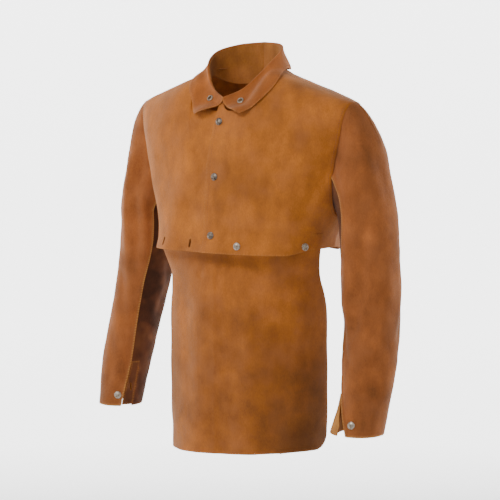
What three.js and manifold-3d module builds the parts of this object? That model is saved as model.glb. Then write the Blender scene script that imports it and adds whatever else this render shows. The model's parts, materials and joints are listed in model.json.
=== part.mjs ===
// Leather cape-sleeve welding jacket with a detachable bib.
// Millimetres. +X is the wearer's left, -Y the front, +Z up.
// The origin is the middle of the neck opening, at the level where the collar meets the shoulders.
import * as THREE from 'three';
import { mergeVertices } from 'three/addons/utils/BufferGeometryUtils.js';
import Module from 'manifold-3d';

const wasm = await Module();
wasm.setup();

// ---- driving dimensions -------------------------------------------------------------------

const LEATHER = 2.0;            // thickness of one layer of split cowhide
const LAYER_GAP = 5.4;          // room for a closed snap between two layers
const LAP = LEATHER + LAYER_GAP;
const SEAM_GAP = 0.8;           // clearance between two panels that are sewn together

const HEM_Z = -345;             // lower edge of the cape
const CHEST_Z = -190;           // above this level the body closes over the shoulders
const RIDGE_NECK_X = 80;        // shoulder seam, neck end
const RIDGE_ARM_X = 250;        // shoulder seam, arm end
const RIDGE_SLOPE = 0.35;       // fall of the shoulder seam
const RIDGE_NECK_Z = 6;         // height of its neck end
const RIDGE_FORWARD = 24;       // the shoulder seam lies this far forward
const HEM_HALF_WIDTH = 201;
const CHEST_HALF_WIDTH = 229;
const SHOULDER_HALF_WIDTH = 256;
const FRONT_DEPTH_HEM = 146;
const FRONT_DEPTH_TOP = 107;
const BACK_DEPTH_HEM = 128;
const BACK_DEPTH_TOP = 122;
const SECTION_POWER = 2.6;      // body sections are rounded rectangles of this power
const NECK_FRONT_Z = -62;       // neckline at the centre front
const NECK_BACK_Z = 18;         // neckline at the centre back
const UNDERLAP_X = 25;          // the right front reaches this far under the left
const FREE_EDGE_X = -13;        // free edge of the left front

const ARMHOLE_TOP_Z = -53.5;
const ARMHOLE_BOTTOM_Z = -275;
const ARMHOLE_DEPTH = 55;       // half of the armhole's front-to-back width
const ARMHOLE_STEPS = 18;       // points around an armhole

const SLEEVE_TOP_Z = -228;      // middle of the slanted upper end of the rigid sleeve
const SLEEVE_TOP_TILT = 66;     // the outer side of that end stands this much higher
const SLEEVE_END_Z = -678;
const ELBOW_Z = -430;
const ELBOW_HALF = 48;          // half length of the bending part of the sleeve
const VENT_LENGTH = 92;

const BIB_TOP_Z = -305;
const BIB_BAND_END_Z = -349;
const BIB_FOLD_END_Z = -392;
const BIB_BOTTOM_Z = -740;
const BIB_BOTTOM_TILT = 0.07;   // the bib hangs a little higher on the wearer's left
const BIB_HALF_WIDTH = 177;
const BIB_DEPTH = 137;
const BIB_CORNER = 32;          // radius of the bib's lower corners

const PLACKET_SNAP_Z = [-92, -198, -311];
const HEM_SNAP_X = [62, 180];
const HEM_SNAP_Z = -329;
const SLOT_X = [-56, -129];     // slots in the right front hem
const SLOT_LENGTH = 16;
const SLOT_WIDTH = 3.6;

const FLAP_TOP_Z = -112;        // the front flap starts below the top snap
const FLAP_HEM_X = 112;         // and runs out to here along the hem
const FLAP_GAP = 1.2;

const COLOURS = {
  suede: 0xb26c34, suedeDark: 0x8f5528, suedeLight: 0xb88244, inside: 0x8a5a34,
  nickel: 0xb9b4aa, antique: 0x5d5148,
};

// ---- small helpers -------------------------------------------------------------------------

const jacket = new THREE.Group();
const radians = THREE.MathUtils.degToRad;
const mix = THREE.MathUtils.lerp;
const clamp = THREE.MathUtils.clamp;
const smoothstep = THREE.MathUtils.smoothstep;

function add(name, geometry, colour, metalness = 0) {
  const roughness = metalness > 0 ? 0.35 : 0.95;
  const material = new THREE.MeshStandardMaterial({ color: colour, roughness, metalness });
  const mesh = new THREE.Mesh(geometry, material);
  mesh.name = name;
  jacket.add(mesh);
  return mesh;
}

// A sheet of leather: a grid of points on its outer face and a second grid one thickness inside.
// surface(u, v) gives the outer face; u runs so that du x dv points out of the garment.
function leatherSheet(surface, us, vs, { closed = false, thickness = LEATHER } = {}) {
  const columns = us.length;
  const rows = vs.length;
  const outer = [];
  const inner = [];
  for (const v of vs) {
    for (const u of us) {
      const point = surface(u, v);
      outer.push(point);
      inner.push(point.clone().addScaledVector(normalAt(surface, u, v, closed), -thickness));
    }
  }
  const points = [...outer, ...inner];
  const layer = outer.length;
  const at = (i, j, k) => (k * layer) + (j * columns) + (i % columns);
  const index = [];
  const quad = (a, b, c, d) => index.push(a, b, c, a, c, d);
  const spans = closed ? columns : columns - 1;
  for (let j = 0; j < rows - 1; j += 1) {
    for (let i = 0; i < spans; i += 1) {
      quad(at(i, j, 0), at(i + 1, j, 0), at(i + 1, j + 1, 0), at(i, j + 1, 0));
      quad(at(i, j, 1), at(i, j + 1, 1), at(i + 1, j + 1, 1), at(i + 1, j, 1));
    }
  }
  for (let i = 0; i < spans; i += 1) {
    quad(at(i, 0, 0), at(i, 0, 1), at(i + 1, 0, 1), at(i + 1, 0, 0));
    quad(at(i, rows - 1, 0), at(i + 1, rows - 1, 0), at(i + 1, rows - 1, 1), at(i, rows - 1, 1));
  }
  if (!closed) {
    for (let j = 0; j < rows - 1; j += 1) {
      quad(at(0, j, 0), at(0, j + 1, 0), at(0, j + 1, 1), at(0, j, 1));
      const last = columns - 1;
      quad(at(last, j, 0), at(last, j, 1), at(last, j + 1, 1), at(last, j + 1, 0));
    }
  }
  const geometry = new THREE.BufferGeometry();
  const numbers = points.flatMap((point) => point.toArray());
  geometry.setAttribute('position', new THREE.Float32BufferAttribute(numbers, 3));
  geometry.setIndex(index);
  return geometry;
}

function normalAt(surface, u, v, closed = false) {
  const step = 1e-3;
  const uLow = closed ? u - step : Math.max(u - step, 0);
  const uHigh = closed ? u + step : Math.min(u + step, 1);
  const vLow = Math.max(v - step, 0);
  const vHigh = Math.min(v + step, 1);
  const du = surface(uHigh, v).sub(surface(uLow, v));
  const dv = surface(u, vHigh).sub(surface(u, vLow));
  return du.cross(dv).normalize();
}

function evenly(count, from = 0, to = 1) {
  return Array.from({ length: count + 1 }, (_, i) => mix(from, to, i / count));
}

// Booleans between closed geometries.
function toSolid(geometry) {
  const bare = geometry.clone();
  for (const name of ['normal', 'uv']) bare.deleteAttribute(name);
  const merged = mergeVertices(bare, 1e-4);
  return new wasm.Manifold(new wasm.Mesh({
    numProp: 3,
    vertProperties: new Float32Array(merged.attributes.position.array),
    triVerts: new Uint32Array(merged.index.array),
  }));
}

function fromSolid(solid) {
  const mesh = solid.getMesh();
  const geometry = new THREE.BufferGeometry();
  geometry.setAttribute('position', new THREE.BufferAttribute(mesh.vertProperties, 3));
  geometry.setIndex(new THREE.BufferAttribute(mesh.triVerts, 1));
  return geometry;
}

// Where a ray meets a geometry: the point and the outward normal of the facet there.
function seatOn(geometry, from, direction) {
  const target = new THREE.Mesh(geometry, new THREE.MeshBasicMaterial({ side: THREE.DoubleSide }));
  const hit = new THREE.Raycaster(from, direction.clone().normalize()).intersectObject(target)[0];
  return hit && { point: hit.point, normal: hit.face.normal.clone() };
}

function cut(geometry, tools) {
  return fromSolid(tools.reduce((solid, tool) => solid.subtract(toSolid(tool)), toSolid(geometry)));
}

const keep = (geometry, tool) => fromSolid(toSolid(geometry).intersect(toSolid(tool)));

// ---- the body of the cape ------------------------------------------------------------------

// A point of a rounded rectangle, at an angle in degrees: [across, out].
function squircle(angle, power = SECTION_POWER) {
  const across = Math.sin(radians(angle));
  const out = Math.cos(radians(angle));
  const size = (Math.abs(across) ** power + Math.abs(out) ** power) ** (1 / power);
  return [across / size, out / size];
}

function roundOff(fraction, power = SECTION_POWER) {
  return (1 - Math.min(Math.abs(fraction), 1) ** power) ** (1 / power);
}

function bodyHalfWidth(z) {
  const rise = clamp((z - HEM_Z) / (CHEST_Z - HEM_Z), 0, 1);
  return mix(HEM_HALF_WIDTH, CHEST_HALF_WIDTH, rise ** 1.4);
}

function bodyDepth(z, front) {
  const rise = clamp((z - HEM_Z) / -HEM_Z, 0, 1);
  return front ? mix(FRONT_DEPTH_HEM, FRONT_DEPTH_TOP, rise) : mix(BACK_DEPTH_HEM, BACK_DEPTH_TOP, rise);
}

// Height of the shoulder ridge; between the neck points it is the height that the neck hides.
function ridgeHeight(x, front) {
  const reach = Math.abs(x);
  const outside = RIDGE_NECK_Z - Math.max(reach - RIDGE_NECK_X, 0) * RIDGE_SLOPE;
  const hidden = 1 - Math.min(reach / RIDGE_NECK_X, 1) ** 2;
  return outside + (front ? -24 : 24) * hidden;
}

// level: 0..1 from the hem to the chest, 1..2 from the chest to the shoulder ridge.
// angle: degrees across, 0 at the centre and 90 at the wearer's left side.
function bodyPoint(angle, level, front, lift = 0) {
  const [across, out] = squircle(angle);
  const closing = level > 1 ? squircle((level - 1) * 90) : [0, 1];
  const [rise, depthShare] = closing;
  let z = mix(HEM_Z, CHEST_Z, Math.min(level, 1));
  let halfWidth = bodyHalfWidth(z);
  if (level > 1) {
    halfWidth = mix(CHEST_HALF_WIDTH, SHOULDER_HALF_WIDTH, 1 - (1 - rise) ** 1.5);
    z = mix(CHEST_Z, ridgeHeight(halfWidth * across, front), rise);
  }
  const depth = bodyDepth(z, front) * out * depthShare + lift * out;
  const y = (front ? -depth : depth) - RIDGE_FORWARD * rise * rise;
  return new THREE.Vector3((halfWidth + lift) * across, y, z);
}

// Neckline height over X, and the level at which a column of the body meets it.
function necklineLevel(angle, front) {
  const ridgeX = bodyPoint(angle, 2, front).x;
  if (Math.abs(ridgeX) >= RIDGE_NECK_X) return 2;
  let low = 1;
  let high = 2;
  for (let i = 0; i < 40; i += 1) {
    const level = (low + high) / 2;
    const point = bodyPoint(angle, level, front);
    const dip = front ? NECK_FRONT_Z : NECK_BACK_Z;
    const neckline = mix(RIDGE_NECK_Z, dip, Math.sqrt(Math.max(1 - (point.x / RIDGE_NECK_X) ** 2, 0)));
    if (point.z < neckline) low = level; else high = level;
  }
  return low;
}

// Levels of the panels' rows: below the armhole, then one for each step of the armhole's loop.
const ARMHOLE_MIDDLE_Z = (ARMHOLE_TOP_Z + ARMHOLE_BOTTOM_Z) / 2;
const ARMHOLE_HALF_HEIGHT = (ARMHOLE_TOP_Z - ARMHOLE_BOTTOM_Z) / 2;
const armholeZ = (turn) => ARMHOLE_MIDDLE_Z + ARMHOLE_HALF_HEIGHT * Math.cos(radians(turn));

// The armhole's level and angle at a turn around its loop: 0 top, 90 front or back, 180 underarm.
function armholeSpot(turn, front) {
  const z = armholeZ(turn);
  const half = ARMHOLE_DEPTH * Math.sin(radians(turn));
  if (z <= CHEST_Z) {
    const out = half / bodyDepth(z, front);
    return [90 - (Math.asin(Math.min(out, 1)) * 180) / Math.PI, (z - HEM_Z) / (CHEST_Z - HEM_Z)];
  }
  const top = ridgeHeight(RIDGE_ARM_X, front);
  const rise = Math.min((z - CHEST_Z) / (top - CHEST_Z), 1);
  const depthShare = roundOff(rise);
  const level = 1 + (Math.atan2(rise, depthShare) * 180) / Math.PI / 90;
  const limit = roundOff(RIDGE_ARM_X / SHOULDER_HALF_WIDTH);
  const out = depthShare > 0.05 ? Math.min(half / (bodyDepth(z, front) * depthShare), limit + 0.1) : limit;
  return [(Math.atan2(roundOff(out), out) * 180) / Math.PI, level];
}

const ARM_ROWS = evenly(ARMHOLE_STEPS / 2, 180, 0);
const SIDE_ROWS = [0, 0.15, 0.3];            // levels of the rows below the armhole
const rowCount = SIDE_ROWS.length + ARM_ROWS.length;

// A panel's grid row is a whole number; between rows everything is interpolated.
function rowEdge(row, front) {
  const below = SIDE_ROWS.length;
  const spot = (k) => (k < below ? [90, SIDE_ROWS[k]] : armholeSpot(ARM_ROWS[k - below], front));
  const k = clamp(Math.floor(row), 0, rowCount - 2);
  const [angleA, levelA] = spot(k);
  const [angleB, levelB] = spot(k + 1);
  return [mix(angleA, angleB, row - k), mix(levelA, levelB, row - k)];
}

// One body panel. inner gives the panel's inner edge as an angle at a level.
function bodyPanel({ side, front, innerEdge, columns, lift = () => 0 }) {
  const neckAngle = (Math.asin(RIDGE_NECK_X / SHOULDER_HALF_WIDTH) * 180) / Math.PI;
  const neckShare = 0.3;
  const surface = (u, v) => {
    const across = (side * front) > 0 ? u : 1 - u;
    const [edgeAngle, level] = rowEdge(v * (rowCount - 1), front > 0);
    const seam = SEAM_GAP / 2 / HEM_HALF_WIDTH * 180 / Math.PI;
    const start = Math.abs(innerEdge) > 0 ? innerEdge : seam;
    const angle = across < neckShare
      ? mix(start, neckAngle, across / neckShare)
      : mix(neckAngle, edgeAngle - seam, (across - neckShare) / (1 - neckShare));
    const top = necklineLevel(Math.abs(angle), front > 0) - 0.004;
    const fitted = level > 1 ? 1 + (level - 1) * (top - 1) : level;
    const point = bodyPoint(angle, fitted, front > 0, lift(angle));
    point.x *= side;
    return point;
  };
  const split = Math.max(2, Math.round(columns * neckShare));
  const shares = [...evenly(split, 0, neckShare), ...evenly(columns - split, neckShare, 1).slice(1)];
  const us = (side * front) > 0 ? shares : shares.map((s) => 1 - s).reverse();
  return leatherSheet(surface, us, evenly(rowCount - 1));
}

const angleOfX = (x) => Math.sign(x) * (Math.atan2(Math.abs(x), 145) * 180) / Math.PI;

// ---- front, back and flap ------------------------------------------------------------------

const lapLift = (angle) => LAP * (1 - smoothstep(angle, angleOfX(34), angleOfX(95)));

const backHalves = [1, -1].map((side) => bodyPanel({ side, front: -1, innerEdge: 0, columns: 8 }));
const freeEdge = angleOfX(FREE_EDGE_X);
const underEdge = -angleOfX(UNDERLAP_X);
const leftWhole = bodyPanel({ side: 1, front: 1, innerEdge: freeEdge, columns: 11, lift: lapLift });
const rightWhole = bodyPanel({ side: -1, front: 1, innerEdge: underEdge, columns: 10 });

// A slab through the body, its outline drawn in the XZ plane.
function frontSlab(outline, nearY, farY) {
  const shape = new THREE.Shape(outline.map(([x, z]) => new THREE.Vector2(x, z)));
  const slab = new THREE.ExtrudeGeometry(shape, { depth: farY - nearY, bevelEnabled: false });
  slab.rotateX(Math.PI / 2);
  slab.translate(0, farY, 0);
  return slab;
}

const flapOutline = (grow) => [
  [FREE_EDGE_X - 30, FLAP_TOP_Z + grow], [FREE_EDGE_X + grow, FLAP_TOP_Z + grow],
  [FLAP_HEM_X + grow, HEM_Z], [FLAP_HEM_X + grow, HEM_Z - 30], [FREE_EDGE_X - 30, HEM_Z - 30],
];

// ---- snap fasteners ------------------------------------------------------------------------

// Each snap stands on an outward axis: height 0 is the outer face of the layer under its cap.
const CAP_RADIUS = 7.4;
const CAP_HEIGHT = 3.2;
const STEM_RADIUS = 2.1;
const HOLE_RADIUS = 2.5;
const SOCKET_RADIUS = 5.6;
const SOCKET_BORE = 2.9;
const FASTENER_GAP = 0.4;       // between a fastener and the leather on its outer side
const STUD_GAP = 0.7;           // under a stud, whose axis leans a little on its own layer
const RING_GAP = 0.8;           // under a collar snap, on the rolled collar leaf
const INNER_GAP = 0.9;          // and on its inner side, where the leather curves towards it

// A profile of [radius, height] points; it is turned round where it would face inwards.
function lathe(profile, segments = 14) {
  const area = profile.reduce((sum, [r, h], i) => {
    const [nextR, nextH] = profile[(i + 1) % profile.length];
    return sum + r * nextH - nextR * h;
  }, 0);
  const points = (area > 0 ? profile : [...profile].reverse()).map(([r, h]) => new THREE.Vector2(r, h));
  return new THREE.LatheGeometry(points, segments);
}

function placeOnAxis(geometry, point, normal) {
  const placed = geometry.clone();
  const turn = new THREE.Quaternion().setFromUnitVectors(new THREE.Vector3(0, 1, 0), normal);
  placed.applyQuaternion(turn);
  placed.translate(point.x, point.y, point.z);
  return placed;
}

const stemEnd = -LEATHER - INNER_GAP - 1.0;
const capShape = lathe([
  [0, stemEnd], [STEM_RADIUS, stemEnd], [STEM_RADIUS, FASTENER_GAP], [CAP_RADIUS - 0.6, FASTENER_GAP],
  [CAP_RADIUS, 1.0], [CAP_RADIUS * 0.72, CAP_HEIGHT * 0.88], [0, CAP_HEIGHT],
]);
const ringShape = lathe([
  [0, RING_GAP], [6.2, RING_GAP], [6.6, 1.6], [5.4, 2.8], [3.8, 2.2], [3.6, 1.1], [0, 1.1],
]);
const socketTop = -LEATHER - INNER_GAP;
const socketShape = lathe([
  [SOCKET_BORE, socketTop], [SOCKET_BORE, socketTop - 2.4], [SOCKET_RADIUS - 1, socketTop - 2.4],
  [SOCKET_RADIUS, socketTop - 1.4], [SOCKET_RADIUS, socketTop], [SOCKET_BORE, socketTop],
], 12);
// A stud on the under layer, its head reaching up by the given height; the post behind holds it.
// A short stud is a plain pin, with no room for an undercut below its head.
function studShape(reach) {
  const head = reach > 2.7 ? [[2.3, reach - 0.3], [1.8, reach - 1.2]] : [[1.8, reach - 0.2]];
  return lathe([
    [0, reach], ...head, [1.8, 1.5], [SOCKET_RADIUS - 1, 1.4],
    [SOCKET_RADIUS - 1, STUD_GAP], [1.6, STUD_GAP], [1.6, STUD_GAP + 0.4], [0, STUD_GAP + 0.4],
  ], 10);
}
const postShape = lathe([
  [0, STUD_GAP], [1.2, STUD_GAP], [1.2, socketTop], [SOCKET_RADIUS, socketTop],
  [SOCKET_RADIUS - 1, socketTop - 1.1], [0, socketTop - 1.1],
], 10);
const holeShape = lathe([
  [0, -LEATHER * 2], [HOLE_RADIUS, -LEATHER * 2], [HOLE_RADIUS, LEATHER], [0, LEATHER],
], 10);

function snap(name, shape, point, normal, colour) {
  add(name, placeOnAxis(shape, point, normal), colour, 1);
}

const behind = (point, normal, distance) => point.clone().addScaledVector(normal, -distance);

const FRONT_FAR = -400;
const BACKWARDS = new THREE.Vector3(0, 1, 0);
const spotOn = (geometry, x, z) => seatOn(geometry, new THREE.Vector3(x, FRONT_FAR, z), BACKWARDS);
const holes = (spots) => spots.map(({ point, normal }) => placeOnAxis(holeShape, point, normal));

// The same snap axis carried to the layer below.
function spotBelow(spot, geometry) {
  const from = behind(spot.point, spot.normal, LEATHER + 0.5);
  const under = seatOn(geometry, from, spot.normal.clone().negate());
  return { point: under.point, normal: spot.normal, drop: under.point.distanceTo(spot.point) };
}

const placketSpots = PLACKET_SNAP_Z.map((z) => spotOn(leftWhole, 0, z));
const placketUnder = placketSpots.map((spot) => spotBelow(spot, rightWhole));
const hemSpots = HEM_SNAP_X.map((x) => spotOn(leftWhole, x, HEM_SNAP_Z));

// ---- body nodes ----------------------------------------------------------------------------

const slots = SLOT_X.map((x) => {
  const { point, normal } = spotOn(rightWhole, x, HEM_SNAP_Z);
  const slot = new THREE.BoxGeometry(SLOT_WIDTH, LEATHER * 4, SLOT_LENGTH);
  slot.applyQuaternion(new THREE.Quaternion().setFromUnitVectors(new THREE.Vector3(0, -1, 0), normal));
  slot.translate(point.x, point.y, point.z);
  return slot;
});

const leftPierced = cut(leftWhole, holes([...placketSpots, ...hemSpots]));
add('left_front_flap', keep(leftPierced, frontSlab(flapOutline(0), -260, -60)), COLOURS.suede);
add('left_front_panel', cut(leftPierced, [frontSlab(flapOutline(FLAP_GAP), -260, -60)]), COLOURS.suedeDark);
add('right_front_panel', cut(rightWhole, [...slots, ...holes(placketUnder)]), COLOURS.suede);
add('left_back_panel', backHalves[0], COLOURS.suedeDark);
add('right_back_panel', backHalves[1], COLOURS.suedeDark);

// ---- bib -----------------------------------------------------------------------------------

// The bib hangs one layer inside the hem and narrows to its own half oval below it.
function bibPoint(angle, z) {
  const below = smoothstep(-z, -HEM_Z - 20, -HEM_Z + 120);
  const halfWidth = mix(HEM_HALF_WIDTH - LAP, BIB_HALF_WIDTH, below);
  const depth = mix(FRONT_DEPTH_HEM - LAP, BIB_DEPTH, below);
  const power = mix(SECTION_POWER, 2.1, below);
  const [across, out] = squircle(angle, power);
  const hemSpread = bodyHalfWidth(z) - HEM_HALF_WIDTH;
  const rise = clamp((z - HEM_Z) / -HEM_Z, 0, 1) * (FRONT_DEPTH_HEM - FRONT_DEPTH_TOP);
  return new THREE.Vector3((halfWidth + hemSpread) * across, -(depth - rise) * out, z);
}

function bibHalfAngle(z) {
  const open = mix(72, 86, smoothstep(-z, -HEM_Z - 20, -HEM_Z + 120));
  const overCorner = clamp((BIB_BOTTOM_Z + BIB_CORNER - z) / BIB_CORNER, 0, 1);
  const pulledIn = BIB_CORNER * (1 - Math.sqrt(1 - overCorner ** 2));
  return open - (pulledIn / BIB_DEPTH) * (180 / Math.PI);
}

function bibPart(topZ, bottomZ, columns, levels) {
  const surface = (u, v) => {
    const z = mix(bottomZ, topZ, v);
    const point = bibPoint(bibHalfAngle(z) * (2 * u - 1), z);
    const low = clamp((BIB_FOLD_END_Z - z) / (BIB_FOLD_END_Z - BIB_BOTTOM_Z), 0, 1);
    point.z += BIB_BOTTOM_TILT * point.x * low;
    return point;
  };
  return leatherSheet(surface, evenly(columns), levels);
}

const cornerLevels = [0, 0.012, 0.035, 0.085, 0.24, 0.43, 0.62, 0.81, 1];
const bandWhole = bibPart(BIB_TOP_Z, BIB_BAND_END_Z, 20, evenly(2));
const bandSpots = hemSpots.map((spot) => spotBelow(spot, bandWhole));
add('bib_band', cut(bandWhole, holes(bandSpots)), COLOURS.suedeDark);
add('bib_fold', bibPart(BIB_BAND_END_Z - 0.8, BIB_FOLD_END_Z, 20, evenly(2)), COLOURS.suedeLight);
add('bib_panel', bibPart(BIB_FOLD_END_Z - 0.8, BIB_BOTTOM_Z, 20, cornerLevels), COLOURS.suede);

// A closed front snap's stud reaches into its socket; a bib stud stops just short of its own.
const SOCKET_ENGAGED = 1.0;
const BIB_STUD_CLEARANCE = 0.4;
const socketEnd = socketTop - 2.4;
function addSnap(names, spot, under, engaged, colour) {
  const reach = under.drop + socketEnd + engaged;
  snap(names.cap, capShape, spot.point, spot.normal, colour);
  snap(names.socket, socketShape, spot.point, spot.normal, colour);
  snap(names.stud, studShape(reach), under.point, under.normal, colour);
  snap(names.post, postShape, under.point, under.normal, colour);
}
['top', 'middle', 'lower'].forEach((place, i) => {
  const names = {
    cap: `${place}_snap_cap`,
    socket: `${place}_snap_socket`,
    stud: `${place}_snap_stud`,
    post: `${place}_snap_post`,
  };
  addSnap(names, placketSpots[i], placketUnder[i], SOCKET_ENGAGED, COLOURS.antique);
});
['inner', 'outer'].forEach((place, i) => {
  const names = {
    cap: `hem_${place}_snap_cap`,
    socket: `hem_${place}_snap_socket`,
    stud: `bib_${place}_stud`,
    post: `bib_${place}_post`,
  };
  addSnap(names, hemSpots[i], bandSpots[i], -BIB_STUD_CLEARANCE, COLOURS.nickel);
});

// ---- collar --------------------------------------------------------------------------------

// Half outlines from the centre front to the centre back.
const NECK_BASE = [
  [0, -103, -58], [36, -88, -47], [62, -66, -24], [77, -42, 6], [76, -14, 17], [50, 20, 22], [0, 38, 23],
];
const FOLD = [
  [0, -108, -47], [35, -91, -31], [62, -72, -2], [78, -48, 25], [79, -18, 44], [52, 18, 57], [0, 36, 62],
];
const LEAF_EDGE = [
  [55, -116, -80], [80, -105, -60], [101, -82, -29], [104, -48, 0], [92, -10, 6], [62, 44, 6], [0, 68, 6],
];
const COLLAR_CENTRE_Y = -36;
const LEAF_REST = 6.6;           // the leaf's inner face stays this far off the body panels

function loopCurve(half, side) {
  const points = half.map(([x, y, z]) => new THREE.Vector3(side * x, y, z));
  return new THREE.CatmullRomCurve3(points, false, 'centripetal');
}

// Moves a point outwards until the leather below it clears the body panels.
function liftOff(point, outward, panels) {
  const from = point.clone().addScaledVector(outward, 100);
  for (const panel of panels) {
    const hit = seatOn(panel, from, outward.clone().negate());
    if (!hit) continue;
    const height = point.clone().sub(hit.point).dot(outward);
    const wanted = LEATHER + LEAF_REST;
    if (height < wanted && height > -30) point.addScaledVector(outward, wanted - height);
  }
  return point;
}

function collarSheet(lowerHalf, upperHalf, options) {
  const { side, from, to, columns, rows = 2, roll = 0, inset = 0, panels = [] } = options;
  const lower = loopCurve(lowerHalf, side);
  const upper = loopCurve(upperHalf, side);
  const surface = (u, v) => {
    const along = side > 0 ? mix(from, to, u) : mix(to, from, u);
    const low = lower.getPoint(along);
    const high = upper.getPoint(along);
    const outward = new THREE.Vector3(high.x, high.y - COLLAR_CENTRE_Y, 0).normalize();
    const point = low.lerp(high, v).addScaledVector(outward, roll * Math.sin(Math.PI * v) - inset);
    return liftOff(point, outward.setZ(0.9).normalize(), panels);
  };
  return leatherSheet(surface, evenly(columns), evenly(rows));
}

const COLLAR_SNAP = { x: 42, y: -112, z: -52 };
const POINT_SHARE = 0.47;        // share of the collar half that turns with its point
for (const [word, side] of [['left', 1], ['right', -1]]) {
  const stand = { side, from: 0.015, to: 0.997, columns: 12, inset: 1.5 };
  add(`${word}_collar_stand`, collarSheet(NECK_BASE, FOLD, stand), COLOURS.inside);
  const panels = side > 0 ? [leftWhole, backHalves[0]] : [rightWhole, leftWhole, backHalves[1]];
  const rise = FOLD.map(([x, y, z]) => [x, y, z + 3.4]);
  const point = { side, from: 0.012, to: POINT_SHARE - 0.006, columns: 8, rows: 4, roll: 5, panels };
  const back = { ...point, from: POINT_SHARE + 0.006, to: 0.997 };
  const pointSheet = collarSheet(LEAF_EDGE, rise, point);
  const outward = new THREE.Vector3(side * 0.3, -0.87, 0.38).normalize();
  const aim = new THREE.Vector3(side * COLLAR_SNAP.x, COLLAR_SNAP.y, COLLAR_SNAP.z);
  const spot = seatOn(pointSheet, aim.addScaledVector(outward, 60), outward.clone().negate());
  add(`${word}_collar_point`, cut(pointSheet, holes([spot])), COLOURS.suede);
  snap(`${word}_collar_snap`, ringShape, spot.point, spot.normal, COLOURS.nickel);
  add(`${word}_collar_leaf`, collarSheet(LEAF_EDGE, rise, back), COLOURS.suedeDark);
}

// ---- sleeves -------------------------------------------------------------------------------

// Sleeve centre line and half widths by height.
const SLEEVE_STATIONS = [
  { z: -165, x: 248, y: -4, across: 54, depth: 60 },
  { z: -250, x: 264, y: -3, across: 55, depth: 62 },
  { z: -340, x: 270, y: 0, across: 57, depth: 60 },
  { z: -430, x: 280, y: -6, across: 56, depth: 58 },
  { z: -550, x: 292, y: -34, across: 52, depth: 54 },
  { z: -690, x: 293, y: -70, across: 43, depth: 46 },
];
function sleeveCurve(key) {
  const points = SLEEVE_STATIONS.map((station) => new THREE.Vector3(station[key], 0, station.z));
  return new THREE.CatmullRomCurve3(points, false, 'centripetal');
}

const sleeveCurves = {
  x: sleeveCurve('x'), y: sleeveCurve('y'), across: sleeveCurve('across'), depth: sleeveCurve('depth'),
};

function sleeveValue(key, z) {
  let low = 0;
  let high = 1;
  for (let i = 0; i < 30; i += 1) {
    const middle = (low + high) / 2;
    if (sleeveCurves[key].getPoint(middle).z > z) low = middle; else high = middle;
  }
  return sleeveCurves[key].getPoint(low).x;
}

// turn: degrees around the sleeve, 0 outer side, 90 front, 180 body side, 270 back.
function sleeveAt(turn, middleZ) {
  const down = clamp((SLEEVE_TOP_Z - middleZ) / (SLEEVE_TOP_Z - ELBOW_Z), 0, 1);
  const tilt = mix(SLEEVE_TOP_TILT, 0, down);
  const z = middleZ + tilt * Math.cos(radians(turn));
  const x = sleeveValue('x', z) + sleeveValue('across', z) * Math.cos(radians(turn));
  const y = sleeveValue('y', z) - sleeveValue('depth', z) * Math.sin(radians(turn));
  return new THREE.Vector3(x, y, z);
}

// The sleeve head runs from the armhole, first outwards and then down, into the sleeve.
const HEAD_CLEARANCE = 3.2;
function armholePoint(turn) {
  const folded = turn > 180 ? 360 - turn : turn;
  const front = turn <= 180;
  const [angle, level] = armholeSpot(folded, front);
  const point = bodyPoint(angle, level, front);
  return point.add(new THREE.Vector3(HEAD_CLEARANCE, 0, 0));
}

function headPoint(turn, v) {
  const start = armholePoint(turn);
  const end = sleeveAt(turn, SLEEVE_TOP_Z);
  const top = 0.5 + 0.5 * Math.cos(radians(turn));
  const startPull = new THREE.Vector3(1, 0, -0.3).multiplyScalar(mix(14, 62, top));
  const endPull = new THREE.Vector3(0.12, 0, -1).multiplyScalar(mix(10, 110, top));
  const v2 = v * v;
  const v3 = v2 * v;
  return start.multiplyScalar(2 * v3 - 3 * v2 + 1)
    .addScaledVector(startPull, v3 - 2 * v2 + v)
    .addScaledVector(end, -2 * v3 + 3 * v2)
    .addScaledVector(endPull, v3 - v2);
}

function mirrored(point, side) {
  point.x *= side;
  return point;
}

// A sleeve panel between two seam turns, from one height to another. The edges may move with height.
function sleevePanel({ side, fromTurn, toTurn, topZ, bottomZ, columns, levels, flare = 0 }) {
  const surface = (u, v) => {
    const z = mix(bottomZ, topZ, v);
    const across = side > 0 ? 1 - u : u;
    const start = typeof fromTurn === 'function' ? fromTurn(z) : fromTurn;
    const end = typeof toTurn === 'function' ? toTurn(z) : toTurn;
    const turn = mix(start, end, across);
    const point = sleeveAt(turn, z);
    const spread = flare * (1 - v) ** 1.5;
    point.x += spread * Math.cos(radians(turn));
    point.y -= spread * Math.sin(radians(turn));
    return mirrored(point, side);
  };
  return leatherSheet(surface, evenly(columns), levels);
}

function sleeveRing({ side, point, levels }) {
  const surface = (u, v) => mirrored(point((side > 0 ? 1 - u : u) * 360, v), side);
  const us = evenly(ARMHOLE_STEPS).slice(0, -1);
  return leatherSheet(surface, us, levels, { closed: true });
}

const FRONT_SEAM = 140;
const BACK_SEAM = 240;
const SEAM_TURN = 0.45;          // half of a sleeve seam's clearance, in degrees
const VENT_TOP_Z = SLEEVE_END_Z + VENT_LENGTH;
// The vent's edges at the cuff: the left cuff stands open, the right one lies closed.
const CUFFS = {
  left: { side: 1, outerEdge: 96, tabFrom: 116, tabTo: 142, flare: 9 },
  right: { side: -1, outerEdge: 131, tabFrom: 134, tabTo: 160, flare: 1 },
};

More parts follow.
